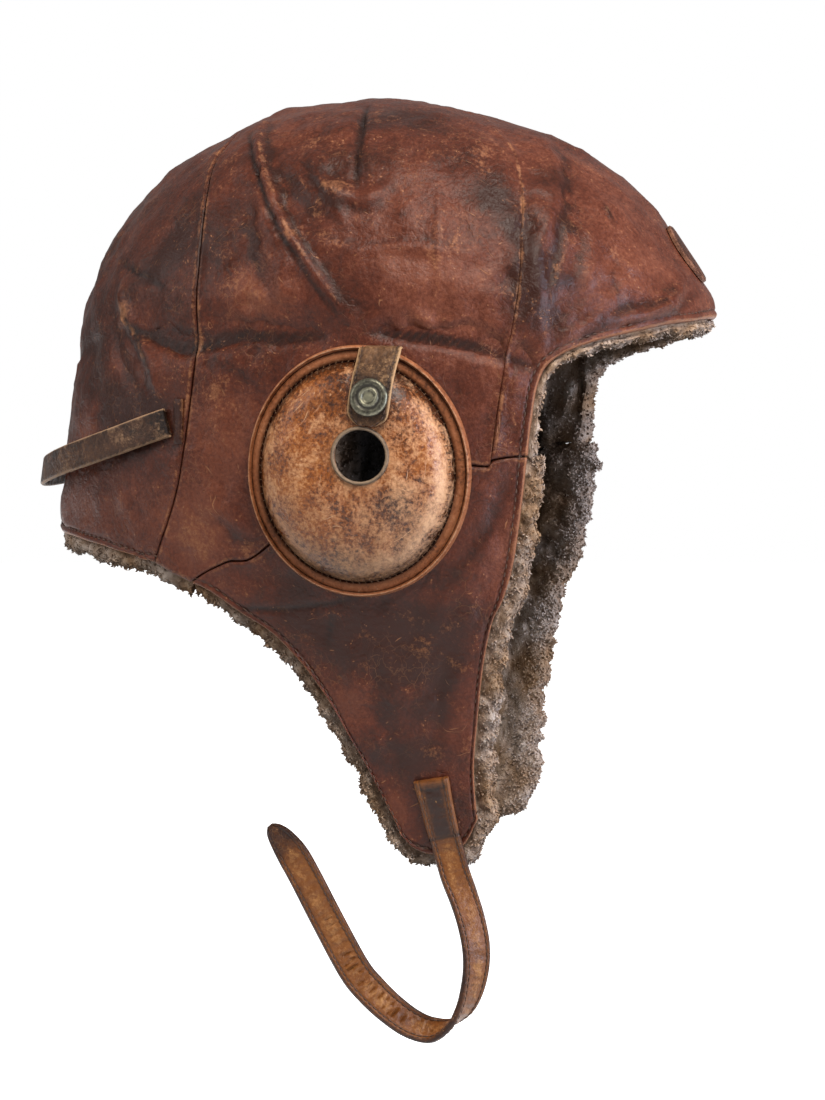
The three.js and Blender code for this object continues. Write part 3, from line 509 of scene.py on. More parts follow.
def noise(place, scale, detail, out=0, **inputs):
    """Clouds of soft spots; inputs such as Roughness go to the node as they are."""
    return add(place.tree, "ShaderNodeTexNoise",
               {"Vector": place, "Scale": scale, "Detail": detail, **inputs}, out)


def cells(place, scale, feature="F1", **inputs):
    """Distance to the middle or the edge of scattered cells."""
    return add(place.tree, "ShaderNodeTexVoronoi", {"Vector": place, "Scale": scale, **inputs}, "Distance",
               feature=feature)


def laid(place, turn, scale):
    """Places turned and drawn out, for a pattern with a direction."""
    return add(place.tree, "ShaderNodeMapping", {"Vector": place, "Rotation": turn, "Scale": scale})


def spread(value, low, high, start=0.0, end=1.0):
    """The range from low to high mapped to start to end, and cut off there."""
    return add(value.tree, "ShaderNodeMapRange", {"Value": value, "From Min": low, "From Max": high,
                                                  "To Min": start, "To Max": end}, "Result")


def most(wires):
    """The largest of several wires."""
    first, *others = wires
    for other in others:
        first = first.maths("MAXIMUM", other)
    return first


def blend(share, under, over, **settings):
    """Two colours, each a wire or a hex code, mixed by a share."""
    under, over = (colour(tint) if isinstance(tint, str) else tint for tint in (under, over))
    return add(share.tree, "ShaderNodeMix", {0: share, 6: under, 7: over}, 2, data_type="RGBA", **settings)


def new_material(name, *marks):
    """An empty material, the place on the object in it and the named marks of a piece's points."""
    made = bpy.data.materials.new(name)
    made.use_nodes = True
    tree = made.node_tree
    tree.nodes.clear()
    place = add(tree, "ShaderNodeTexCoord", out="Object")
    return made, place, *(add(tree, "ShaderNodeAttribute", attribute_name=mark, out="Fac")
                          for mark in marks)


def finish(relief, strength, deep, surface):
    """Closes a material: its surface with a fine relief of a depth in mm."""
    tree = relief.tree
    bump = add(tree, "ShaderNodeBump", {"Height": relief, "Strength": strength, "Distance": deep / 1000})
    skin = add(tree, "ShaderNodeBsdfPrincipled", {**surface, "Normal": bump})
    add(tree, "ShaderNodeOutputMaterial", {"Surface": skin})


def aged_leather(name, dark, body, warm, tan, rough, clouds=34.0, scratched=0.5, crackled=0.5, grain=0.35,
                 speckled=0.55, creased=1.0, shine=0.17):
    """Old vegetable-tanned leather. Clouds of darker and redder dye, tan where the dye is rubbed
    off or a painted highlight is marked, dry scratches and crackle, painted shade in the fine creases
    and where it is marked, and a waxy gloss that breaks up on the worn places."""
    made, place, rub, stain, edge, seam = new_material(name, "rub", "stain", "edge", "seam")
    mm = place.scaled(1000.0)
    warp = noise(mm, 1 / 16, 3.0, "Color")
    warped, bent = (mm.moved(warp.scaled(far)) for far in (11.0, 3.5))
    cloud = noise(mm, 1 / clouds, 5.0, Roughness=0.62)
    mottle = noise(warped, 1 / 7.0, 7.0, Roughness=0.68)
    speck = noise(mm, 1 / 1.3, 4.0, Roughness=0.7)
    # Fine creases of the skin: the middle lines of a drawn-out noise, here and there. They sink the
    # relief and are painted a little darker in the tone as shade.
    folds = most(spread(abs(noise(laid(bent, turn, (1 / long, 1 / wide, 1 / wide)), 1.0, 1.0) - 0.5),
                        0.0, 0.06, 1.0, 0.0)
                 for turn, long, wide in (((0.4, 0.9, 0.2), 32, 6.5), ((1.3, 0.2, 0.8), 24, 4.5)))
    folds = folds * spread(noise(mm, 1 / 27.0, 2.0), 0.42, 0.58)
    tone = cloud * 0.46 - 0.17 + mottle * 0.38 + folds * (-0.05 * creased) + speck * speckled
    tone = tone + stain * -0.24 + (0.25 - speckled / 2)
    dye = add(place.tree, "ShaderNodeValToRGB", {"Fac": tone}, "Color",
              stops=[(0.28, dark), (0.47, body), (0.68, warm), (0.92, tan)])
    # Stains and painted shade go on last and sink unevenly into the grain.
    dye = blend((mottle * -1.6 + 1.45).maths("MULTIPLY", stain, clamp=True), dye, dark)
    # Tan where the dye is rubbed away, and a painted highlight where a piece marks one, broken up by
    # the grain.
    bare_and_highlight = spread(rub * 0.62 - 0.74 + mottle * 0.75 + speck * 0.5, 0.0, 0.3)
    dye = blend(bare_and_highlight, dye, tan)
    dye = blend((mottle * 2.2 - 0.6).maths("MULTIPLY", edge, clamp=True), dye, warm)
    # Dry scratches in three directions: noise drawn out to 17 mm by 0.24 mm.
    marks = most(spread(noise(laid(mm, turn, (1 / 0.24, 1 / long, 1 / long)), 1.0, 1.0),
                        0.8 - 0.07 * scratched, 0.85 - 0.06 * scratched)
                 for turn, long in (((0.5, 0.2, 0.9), 17.0), ((0.3, 1.1, -0.6), 11.0),
                                ((1.2, 0.1, 0.3), 9.0)))
    # Crackle: ragged cells of about 4 mm whose borders show only here and there.
    ragged = warped.moved(noise(mm, 1 / 2.5, 2.0, "Color").scaled(2.6))
    crack = spread(cells(ragged, 1 / 3.8, "DISTANCE_TO_EDGE"), 0.0, 0.045, 1.0, 0.0)
    crack = crack * spread(noise(mm, 1 / 19.0, 4.0), 0.5, 0.74) * crackled
    dry = most((marks * 0.7, crack))
    dye = blend(dry, dye, tan)
    # Flecks of 0.5 mm where the top of the grain has worn through.
    dots = spread(cells(warped, 1 / 2.1), 0.1, 0.2, 0.75, 0.0) * spread(mottle, 0.5, 0.6)
    # Seams, pressed stitch lines and the painted shade lines go near black.
    dye = blend(seam, blend(dots, dye, tan), "#120a07")
    gloss = mottle * 0.3 + (rough - 0.15) + bare_and_highlight * 0.09
    # Grain pores of 0.7 mm, a pebble of 2.4 mm and the softer drape of the skin.
    relief = noise(mm, 1 / 0.7, 2.0) * 0.25 + cells(warped, 1 / 2.4) * grain + mottle * 1.5
    relief = relief + dry * -0.35 + folds * (-0.18 * creased)
    finish(relief, 0.6, 0.7, {"Base Color": dye, "Roughness": gloss, "Specular IOR Level": shine})
    return made


waxed_goatskin = aged_leather("waxed_goatskin", "#2d130a", "#4d2315", "#6c3b29", "#976645", 0.38,
                              crackled=0.4, shine=0.18)

PANEL_STEP = 1.9  # mm between points, fine enough for the narrowest crease
STITCH_INSET = 3.0  # mm from a turned edge to its stitches
SHORT_BORDER = 40  # points; a border with fewer has no stitches of its own


def edge_relief(far, is_seam):
    """How a border lies: a sewn seam dips, a turned edge is a bead with a line of stitches."""
    if is_seam:
        return -0.6 * hill(far, 0, 0.4) + 0.25 * hill(far, 1.8, 1.2)
    return (-0.9 * hill(far, 0, 0.5) + 0.35 * hill(far, 1.4, 0.9)
            - 0.45 * hill(far, STITCH_INSET, 0.5))


stitch_lines = []


def inset(points, normals, far, depth=0.1):
    """The line that runs a distance in from the first border of a grid, and its normals."""
    length = walked(np.swapaxes(points, 0, 1)).T
    place, way = (np.array([[np.interp(far, length[i], grid[i, :, k]) for k in range(3)]
                            for i in range(len(grid))]) for grid in (points, normals))
    return place - way * depth, way


def sew_panel(name, places, seams):
    """A panel over a grid of places. Seams says which borders are sewn: low, high, start, end."""
    points, normals = on_shell(places), outward(places)
    height, rub, stain, seam = worn_surface(places)
    edge, shrink = np.zeros_like(height), np.zeros_like(points)
    walk_u, walk_v = walked(points), walked(np.swapaxes(points, 0, 1)).T
    gaps = (walk_v, walk_v[:, -1:] - walk_v, walk_u, walk_u[-1:] - walk_u)
    # Each view turns a grid so that its border is the first column.
    views = (lambda grid: grid, lambda grid: grid[:, ::-1], lambda grid: np.swapaxes(grid, 0, 1),
             lambda grid: np.swapaxes(grid, 0, 1)[:, ::-1])
    for far, view, is_seam in zip(gaps, views, seams):
        turned = view(points)
        view(shrink)[:, 0] += unit(turned[:, 1] - turned[:, 0]) * HALF_SEAM
        height = height * ease(-2, 6, far) + edge_relief(far, is_seam)
        if is_seam:
            seam = np.maximum(seam, 0.9 * hill(far, 0, 0.25))
            rub = np.maximum(rub, 0.3 * hill(far, 1.3, 0.8))
            continue
        edge = np.maximum(edge, 0.9 * hill(far, 0, 1.1))
        seam = np.maximum(seam, 0.45 * hill(far, STITCH_INSET, 0.45))
        rub = np.maximum(rub, 0.8 * hill(far, 0.6, 0.6))
        if len(turned) > SHORT_BORDER:
            stitch_lines.append(inset(turned, view(normals), STITCH_INSET))
    outer = points + shrink + normals * height[..., None]
    inner = points + shrink - normals * LEATHER
    middle = (points[1:, 1:] + points[:-1, :-1]) / 2
    kept = (from_ear(middle, EAR_OPENING) > 1) | (np.abs(middle[..., 0]) < AT_SIDE)
    wall(name, outer, inner, {"rub": rub, "stain": stain, "edge": edge, "seam": seam}, waxed_goatskin,
         "shell_leather", kept)


front_seam, rear_seam, brow, nape = (smooth(spots(both_sides(rows)))
                                     for rows in (FRONT_SEAM, REAR_SEAM, BROW_EDGE, NAPE_EDGE))
flap_seam_rear, flap_seam_front = smooth(spots(FLAP_SEAM_REAR)), smooth(spots(FLAP_SEAM_FRONT))
under_ear = np.vstack([smooth(spots(NAPE_CORNER)), flap_seam_rear])
short_nape = np.stack([rear_seam[-1], nape[-1]])
sew_panel("front_panel",
          fill(front_seam, brow, mirror(flap_seam_front), flap_seam_front,
               shares_of(330, 1.7), shares_of(72, PANEL_STEP)), (True, False, True, True))
sew_panel("middle_panel",
          fill(rear_seam, front_seam, mirror(under_ear), under_ear,
               shares_of(440, PANEL_STEP), shares_of(130, 1.4)), (True, True, True, True))
sew_panel("back_panel",
          fill(rear_seam, nape, mirror(short_nape), short_nape,
               shares_of(400, PANEL_STEP), shares_of(120, PANEL_STEP)), (True, False, False, False))
flap_top = np.vstack([flap_seam_rear, flap_seam_front])
flap_lines = [smooth(spots(rows)) for rows in (FLAP_REAR, FLAP_FRONT)]
flap_tip = smooth(spots(FLAP_TIP))
for name, turn in (("right_ear_flap", np.asarray), ("left_ear_flap", mirror)):
    grid = fill(turn(flap_lines[0]), turn(flap_lines[1]), turn(flap_top), turn(flap_tip),
                shares_of(125, 1.5), shares_of(90, 1.5))
    sew_panel(name, grid, (False, False, True, False))

# Saddle stitches hold every turned edge: waxed linen thread, about 3 mm to a stitch, darkened to
# the colour of the leather and sunk into a pressed line.
def thread_finish(name, code):
    """Waxed linen thread: matt, with a faint twist that catches the light."""
    made, place = new_material(name)
    twist = noise(place, 1800.0, 1.0)
    finish(twist, 0.4, 0.2, {"Base Color": blend(twist, "#120b07", code), "Roughness": 0.7})
    return made


linen_thread = thread_finish("waxed_linen_thread", "#5a3a26")


def group_with(name, sizes):
    """An empty geometry tree with named inputs, and those inputs as wires and as identifiers."""
    tree = bpy.data.node_groups.new(name, "GeometryNodeTree")
    tree.interface.new_socket("Geometry", in_out="INPUT", socket_type="NodeSocketGeometry")
    names = {label: tree.interface.new_socket(
        label, in_out="INPUT", socket_type="NodeSocketFloat").identifier for label in sizes}
    tree.interface.new_socket("Geometry", in_out="OUTPUT", socket_type="NodeSocketGeometry")
    given = add(tree, "NodeGroupInput")
    return tree, {label: given.sibling(label) for label in ("Geometry", *sizes)}, names


def grown(source, geometry, material, names, sizes, name):
    """The plain mesh object that a tree makes on a source object, which is left as it was."""
    tree = geometry.tree
    geometry = add(tree, "GeometryNodeRealizeInstances", {0: geometry})
    geometry = add(tree, "GeometryNodeSetMaterial", {"Geometry": geometry, "Material": material})
    add(tree, "NodeGroupOutput", {"Geometry": geometry})
    maker = source.modifiers.new(name, "NODES")
    maker.node_group = tree
    for label, value in sizes.items():
        maker[names[label]] = value
    evaluated = source.evaluated_get(bpy.context.evaluated_depsgraph_get())
    mesh = bpy.data.meshes.new_from_object(evaluated)
    source.modifiers.remove(maker)
    mesh.name = name
    return new_object(name, mesh)


def carried(tree, name, kind="FLOAT"):
    """A mark that the points of the source mesh carry."""
    return add(tree, "GeometryNodeInputNamedAttribute", {"Name": name}, data_type=kind)


def pointed(tree, way, axis, **turned):
    """The rotation that points an axis in a direction."""
    pivot = {"pivot_axis": "X"} if turned else {}
    return add(tree, "FunctionNodeAlignRotationToVector", {"Vector": way, **turned}, axis=axis, **pivot)


def sew(name, lines, material, slot, pitch=3.0, length=2.1, thick=0.55):
    """Stitches along lines of points in mm, each with the direction that is up from the leather."""
    points, ups = (np.vstack(parts) for parts in zip(*lines))
    starts = np.cumsum([0] + [len(line) for line, _ in lines])
    edges = [(k, k + 1) for a, b in zip(starts, starts[1:]) for k in range(a, b - 1)]
    mesh = bpy.data.meshes.new(f"{name}_path")
    mesh.from_pydata((points / 1000).tolist(), edges, [])
    mesh.attributes.new("up", "FLOAT_VECTOR", "POINT").data.foreach_set(
        "vector", np.asarray(ups, np.float32).ravel())
    path = new_object(f"{name}_path", mesh)
    sizes = {"Pitch": pitch / 1000, "Stitch length": length / 1000, "Thread": thick / 1000}
    tree, given, names = group_with(f"{name}_rows", sizes)
    curve = add(tree, "GeometryNodeMeshToCurve", {0: given["Geometry"]})
    curve = add(tree, "GeometryNodeResampleCurve", {"Curve": curve, "Length": given["Pitch"]},
                mode="LENGTH")
    turn = pointed(tree, add(tree, "GeometryNodeInputTangent"), "X")
    turn = pointed(tree, carried(tree, "up", "FLOAT_VECTOR"), "Z", Rotation=turn)
    bead = add(tree, "GeometryNodeMeshUVSphere", {"Segments": 6, "Rings": 4, "Radius": 0.5})
    size = add(tree, "ShaderNodeCombineXYZ",
               {"X": given["Stitch length"], "Y": given["Thread"], "Z": given["Thread"]})
    row = add(tree, "GeometryNodeInstanceOnPoints",
              {"Points": curve, "Instance": bead, "Rotation": turn, "Scale": size})
    made = grown(path, row, material, names, sizes, name)
    bpy.data.objects.remove(path)
    return settle(made, slot)


sew("edge_stitches", stitch_lines, linen_thread, "shell_leather")

# The lining: sheepskin with its wool clipped to about 9 mm, cut to the same shapes as the shell and
# sewn in at the edges, where it rolls out past the leather. The wool has matted into short locks
# that lean together, bleached grey brown at the tips; the hollows between them and the roots are
# painted dark as shade.
PILE_TOP = 3.1  # mm under the leather's outside
PILE_BED = 10.0  # the matted wool, from which the locks stand out
ROLL = np.array([(0.1, 2.9), (0.36, 1.9), (0.62, 1.7), (0.86, 2.7), (1.0, 4.6), (1.0, 6.8), (0.86, 8.8),
                 (0.45, 10.0)])


def wool_finish():
    """Clipped sheep's wool: matt, bleached at the tips and browner in patches. Painted shade darkens it
    between the clumps and toward the roots, near black round the ears and a little on its inner face."""
    made, place, tip, tone, painted_shade = new_material("sheep_wool", "tip", "tone", "painted_shade")
    fuzz = noise(place, 1100.0, 3.0, Roughness=0.7, Distortion=1.2)
    # The tip mark is low between the clumps and at the roots, where the colour is painted dark as shade.
    height = tip * 0.46 + 0.1 + tone * 0.14 + fuzz * 0.35
    wool = add(place.tree, "ShaderNodeValToRGB", {"Fac": height}, "Color",
               stops=[(0.1, "#4a3c32"), (0.42, "#a08b7b"), (0.68, "#c4b3a6"), (0.95, "#dccfc4")])
    wool = blend(spread(noise(place, 60.0, 2.0), 0.4, 0.65), wool, "#e0cbb0", blend_type="MULTIPLY")
    # Painted shade: near black over the ear openings and darker on the wool's inner face.
    wool = blend(painted_shade, wool, "#0b0806")
    finish(fuzz, 0.8, 0.8, {"Base Color": wool, "Roughness": 0.95, "Specular IOR Level": 0.1})
    return made


sheep_wool = wool_finish()


def roll_out(rim, centre, reach):
    """Points of the roll past an edge and the way the wool is combed there."""
    points, normals = on_shell(rim), outward(rim)
    tangent = np.gradient(points, axis=0)
    away = np.cross(tangent, normals)
    away = unit(away)
    away *= np.sign(np.sum(away * (points - on_shell(centre)), -1))[:, None]
    uneven = 1 + 0.14 * ripple(points, 9, 21) + 0.1 * ripple(points, 4, 22)
    out = points[:, None] + away[:, None] * (ROLL[:, 0] * reach)[None, :, None] * uneven[:, None, None]
    comb = np.repeat(away[:, None], len(ROLL), 1) * np.linspace(1, 0.3, len(ROLL))[None, :, None]
    comb = comb - normals[:, None] * np.linspace(0, 0.7, len(ROLL))[None, :, None]
    return out - normals[:, None] * ROLL[:, 1][None, :, None], comb


def butt_end(rim, centre, reach):
    """The same where pile meets pile: no roll, only the thickness."""
    depths = np.linspace(PILE_TOP, PILE_BED, len(ROLL) + 2)[1:-1]
    points = np.stack([below(rim, np.full(len(rim), depth)) for depth in depths], 1)
    return points, np.zeros_like(points)


def spoke_faces(rows):
    """Quads between rows of points that stand round an axis, closed only round it."""
    index = np.arange(rows.shape[0] * rows.shape[1]).reshape(rows.shape[:2])
    after = np.roll(index, -1, axis=0)
    return np.stack([index[:, :-1], after[:, :-1], after[:, 1:], index[:, 1:]], -1)


def welded(points, faces, marks):
    """The points that lie on each other made one, so that poles and seams are closed."""
    _, first, same = np.unique(np.round(points, 3), axis=0, return_index=True, return_inverse=True)
    same = same.ravel()
    clean = []
    for face in faces:
        corners = same[list(face)]
        corners = [c for k, c in enumerate(corners) if c != corners[k - 1]]
        if len(corners) > 2:
            clean.append(corners)
    return points[first], clean, {mark: values[first] for mark, values in marks.items()}


def closed_piece(name, rows, marks, material, kept=slice(None), flat_above=55):
    """A piece from rows of points round an axis, closed at its poles and seams."""
    faces = spoke_faces(rows)[kept].reshape(-1, 4)
    points, faces, marks = welded(rows.reshape(-1, 3), faces, marks)
    return piece(name, points, faces, material, marks, flat_above)


def lining_bed(name, centre, groups, rings):
    """The matted wool under the locks, over spokes from a centre to a rim in groups."""
    rim = np.vstack([places for places, _, _ in groups])
    rolls, combs = (np.vstack(parts) for parts in zip(
        *[shape(places, centre, reach) for places, shape, reach in groups]))
    share = (np.arange(rings + 1) / rings) ** 0.8
    places = centre + (rim[:, None] - centre) * share[None, :, None]
    top = below(places, np.full(places.shape[:2], PILE_TOP))
    level = on_shell(places)
    bed = below(places, PILE_BED + 0.9 * ripple(level, 13, 23) * (share[None] > 0.05))
    rows = np.concatenate([top, rolls, bed[:, ::-1]], 1)
    count, length = rows.shape[:2]
    middle = (rows + np.roll(rows, -1, axis=0))[:, :-1] / 2
    kept = (from_ear(middle, HEARING_GAP) > 1) | (np.abs(middle[..., 0]) < AT_SIDE)
    density = np.concatenate([np.zeros(rings + 1), np.linspace(0.8, 1, len(ROLL)),
                              np.linspace(0.9, 0.1, rings + 1) ** 2])
    # Painted shade: the wool round the hearing gap is drawn near black, and the inner face darker.
    over_ear = 1 - ease(1.5, 2.5, from_ear(rows, HEARING_GAP))
    painted_shade = np.where(np.abs(rows[..., 0]) > AT_EAR, over_ear, 0)
    inner = np.arange(length) > rings + len(ROLL)
    painted_shade = np.maximum(painted_shade, inner * np.clip(0.14 + 0.12 * ripple(rows, 9, 24), 0, 0.8))
    comb = np.zeros_like(rows)
    comb[:, rings + 1:rings + 1 + len(ROLL)] = combs
    comb[:, rings + 1 + len(ROLL):, 2] = -0.35
    marks = {"pile": np.tile(density, count), "comb": comb.reshape(-1, 3), "painted_shade": painted_shade.ravel()}
    return closed_piece(name, rows, marks, sheep_wool, kept)


def marked(geometry, name, value, domain="POINT"):
    """The geometry with a value stored on it for the material."""
    return add(geometry.tree, "GeometryNodeStoreNamedAttribute",
               {"Geometry": geometry, "Name": name, "Value": value}, data_type="FLOAT", domain=domain)


def fluff_up(bed, name, *nodes):
    """The bed gathered into clumps of about 5 mm, each made of smaller curls."""
    sizes = {"Clump size": 0.0052, "Clump height": 0.002, "Curl size": 0.0021, "Curl height": 0.0008}
    tree, given, names = group_with(f"{name}_clumps", sizes)
    mesh = add(tree, "GeometryNodeSubdivideMesh", {"Mesh": given["Geometry"], "Level": 1})
    place = add(tree, "GeometryNodeInputPosition")
    place = place.moved(noise(place, 220.0, 2.0, "Color").scaled(0.0035))
    clump, curl = (0.5 - cells(place, 1.0 / given[size], "SMOOTH_F1", Smoothness=0.35)
                   for size in ("Clump size", "Curl size"))
    rise = clump * given["Clump height"] + curl * given["Curl height"]
    rise = rise * carried(tree, "pile").maths("MULTIPLY", 8.0, clamp=True)
    # Tip is low in the hollows between clumps, which the wool's colour paints dark as shade.
    mesh = marked(mesh, "tip", (clump + curl) * 0.9 + 0.45)
    mesh = add(tree, "GeometryNodeSetPosition",
               {"Geometry": mesh, "Offset": add(tree, "GeometryNodeInputNormal").scaled(rise)})
    made = grown(bed, mesh, sheep_wool, names, sizes, name)
    made.data.polygons.foreach_set("use_smooth", [True] * len(made.data.polygons))
    bpy.data.objects.remove(bed)
    return settle(made, "wool_pile", *nodes)


def chance(tree, low, high, seed):
    """A random value for each root."""
    if isinstance(low, tuple):
        return add(tree, "FunctionNodeRandomValue", {0: low, 1: high, "Seed": seed},
                   data_type="FLOAT_VECTOR")
    return add(tree, "FunctionNodeRandomValue", {2: low, 3: high, "Seed": seed}, 1, data_type="FLOAT")


def grow_locks(bed, name, per_mm2, thick=0.62, seed=1):
    """Short curled tips of wool scattered over a bed, leaning together in swirls."""
    sizes = {"Locks per square metre": per_mm2 * 1e6, "Lock length": 0.0019, "Lock thickness": thick / 1000,
             "Curl": 2.5, "Stand": 0.17, "Swirl": 1.7, "Swirl size": 0.006}
    tree, given, names = group_with(f"{name}_wool", sizes)
    length, curl = given["Lock length"], given["Curl"]
    roots = add(tree, "GeometryNodeDistributePointsOnFaces",
                {"Mesh": given["Geometry"], "Seed": seed,
                 "Density": carried(tree, "pile") * given["Locks per square metre"]})
    place = add(tree, "GeometryNodeInputPosition")
    swirl = noise(place, 1.0 / given["Swirl size"], 1.0, "Color").moved((0.5, 0.5, 0.5), "SUBTRACT")
    lean = roots.sibling("Normal").scaled(given["Stand"]).moved(carried(tree, "comb", "FLOAT_VECTOR"))
    lean = lean.moved(swirl.scaled(given["Swirl"])).moved(chance(tree, (-0.12,) * 3, (0.12,) * 3, seed + 1))
    spin = add(tree, "FunctionNodeAxisAngleToRotation",
               {"Axis": (0.0, 0.0, 1.0), "Angle": chance(tree, 0.0, 6.283, seed + 2)})
    turn = add(tree, "FunctionNodeRotateRotation",
               {"Rotation": pointed(tree, lean, "Z"), "Rotate By": spin}, rotation_space="LOCAL")
    lock = add(tree, "GeometryNodeMeshCone",
               {"Vertices": 3, "Side Segments": 2, "Radius Top": 0.0,
                "Radius Bottom": given["Lock thickness"], "Depth": length})
    # Each cone is bent along an arc, so that it curls over on itself.
    corner = add(tree, "ShaderNodeSeparateXYZ", {0: place}, "X")
    share = corner.sibling("Z") / length
    angle = share * curl
    radius = length / curl
    inward = corner - radius
    curled = add(tree, "ShaderNodeCombineXYZ", {
        "X": inward * angle.maths("COSINE") + radius, "Y": corner.sibling("Y"),
        "Z": inward * angle.maths("SINE") * -1.0})
    # Tip runs from 0 at the root, which the wool's colour paints dark as shade, to 1 at the bleached point.
    lock = add(tree, "GeometryNodeSetPosition",
               {"Geometry": marked(lock, "tip", share), "Position": curled})
    locks = add(tree, "GeometryNodeInstanceOnPoints",
                {"Points": roots, "Instance": lock, "Rotation": turn,
                 "Scale": chance(tree, 0.6, 1.15, seed + 3)})
    locks = marked(locks, "tone", chance(tree, 0.0, 1.0, seed + 4), "INSTANCE")
    return settle(grown(bed, locks, sheep_wool, names, sizes, name), "wool_pile")


def rim_of(line, count):
    """Evenly spread points of a line."""
    return along(line, np.linspace(0, 1, count))


PILE_GAP = 0.0015  # share by which the crown's pile and the flaps' keep off the seam between them
flap_seam = np.vstack([rim_of(flap_seam_front[::-1], 4), rim_of(flap_seam_rear[::-1], 36)])
right_seam, flap_rim = flap_seam * (1 - PILE_GAP), flap_seam * (1 + PILE_GAP)
nape_line = smooth(spots(both_sides(NAPE_EDGE + NAPE_CORNER)))
crown_bed = lining_bed("crown_lining", np.zeros(2), [
    (rim_of(brow, 110), roll_out, 3.4), (right_seam, butt_end, 0),
    (rim_of(nape_line, 110)[::-1], roll_out, 6.6), (mirror(right_seam)[::-1], butt_end, 0)], 24)
crown_bed = fluff_up(crown_bed, "crown_clumps", "crown_lining")
grow_locks(crown_bed, "crown_wool", 0.43, thick=0.68, seed=10)
flap_centre = spots((74, 203))
for side, turn in (("right", np.asarray), ("left", mirror)):
    rear_edge = np.vstack([rim_of(flap_lines[0], 60), rim_of(flap_tip, 16)[1:12]])
    front_edge = np.vstack([rim_of(flap_tip, 16)[12:-1], rim_of(flap_lines[1][::-1], 60)])
    bed = lining_bed(f"{side}_flap_lining", turn(flap_centre),
                     [(turn(rear_edge), roll_out, 5.8), (turn(front_edge), roll_out, 7.6),
                      (turn(flap_rim), butt_end, 0)], 15)
    bed = fluff_up(bed, f"{side}_flap_clumps", f"{side}_flap_lining")
    grow_locks(bed, f"{side}_flap_wool", 0.8, seed=20 if side == "right" else 30)

# Round each ear a channel of thick leather is sewn to the shell, with a thin welt near its outer
# edge. The hood of the earpiece sits in it and is stitched down at its foot.
RING_HOLE = (12.1, 138.3, 35, 39.5)
RING_SECTION = [(0, 0.35), (0, 1.0), (0.06, 1.5), (0.3, 1.75), (0.5, 1.7), (0.6, 1.5), (0.66, 1.35),
                (0.7, 1.7), (0.73, 2.4), (0.78, 3.0), (0.84, 3.2), (0.9, 3.05), (0.95, 2.4), (0.98, 1.5),
                (1, 0.7), (1, 0.35)]


def beside(side, front, drop, lift):
    """A point at the side of the head that stands a height off the form; 1 is the wearer's right."""
    front, drop = np.asarray(front, float), np.asarray(drop, float)
    power = power_at(drop)
    long = np.where(front >= 0, front_at(drop), back_at(drop))
    wide = wide_at(drop) * (1 - np.abs(front / long) ** power) ** (1 / power)
    return np.stack(np.broadcast_arrays(-side * (wide + lift), -front, CROWN_TOP - drop), -1)


def hoop(side, inside, outside, section, steps=168, uneven=None):
    """Rows of points round the ear, from an inner to an outer oval, with the section's lifts, and
    the share of the way out at each point."""
    angle = np.linspace(0, 2 * math.pi, steps, endpoint=False)[:, None]
    section = np.array(section, float)
    front, drop, across, down = (low + (high - low) * section[:, 0]
                                 for low, high in zip(inside, outside))
    front, drop = front + across * np.cos(angle), drop + down * np.sin(angle)
    lift = section[:, 1] + (0 if uneven is None else uneven(angle, section[:, 0], front, drop))
    return beside(side, front, drop, lift), np.broadcast_to(section[:, 0], front.shape)


def hoop_piece(name, rows, material, marks, slot):
    """The piece between rows of points, closed both round the ring and round its section."""
    marks = {mark: values.ravel() for mark, values in marks.items()}
    index = np.arange(rows.shape[0] * rows.shape[1]).reshape(rows.shape[:2])
    after, beyond = np.roll(index, -1, 0), np.roll(index, -1, 1)
    faces = np.stack([index, after, np.roll(after, -1, 1), beyond], -1).reshape(-1, 4)
    settle(piece(name, rows.reshape(-1, 3), faces, material, marks), slot, name)


oiled_channel = aged_leather("oiled_channel_leather", "#22110a", "#8a5232", "#a06846", "#b58866", 0.5,
                             clouds=30.0, scratched=0.3, crackled=0.25, grain=0.5)
for side, name in SIDES:
    rows, share = hoop(side, RING_HOLE, EAR_RING, RING_SECTION, uneven=lambda angle, share, front, drop:
                       0.12 * np.sin(9 * angle + 2 * side) * (share < 0.9))
    # Painted shade: a dark line in the groove inside the welt and along the inner edge under the hood.
    marks = {"seam": hill(share, 0.66, 0.03) + 0.7 * hill(share, 0, 0.1),
             "rub": 0.55 * hill(share, 0.84, 0.05)}
    hoop_piece(f"{name}_ear_ring", rows, oiled_channel, marks, "ring_leather")

# The hood over the earphone: thick sole leather pressed wet over a block into a flat dome with
# steep sides. Handling has worn it to bare tan on the shoulders and scratched it all over. The
# shoulder toward the brow is paler still as a painted highlight, and its foot is painted dark as shade.
HOOD_OVAL = (12.1, 138.3, 34.6, 39.1)
HEARING_HOLE = (15.9, 131.9, 9.4, 9.4)
HOOD_SECTION = [(0, 12), (0.08, 12), (0.18, 11.95), (0.28, 11.85), (0.38, 11.65), (0.48, 11.35),
                (0.57, 10.95), (0.65, 10.45), (0.72, 9.8), (0.78, 9.0), (0.83, 8.1), (0.87, 7.1),
                (0.905, 6.0), (0.935, 4.8), (0.96, 3.5), (0.98, 2.2), (0.995, 1.1), (1, 0.6), (1, 0.35),
                (0.96, 0.35), (0.935, 0.35), (0.92, 1.5), (0.89, 3.6), (0.85, 5.2), (0.79, 6.8), (0.7, 7.9),
                (0.6, 8.7), (0.4, 9.5), (0.2, 9.9), (0, 10.1)]
TAB_PLACE = (20.2, 106)


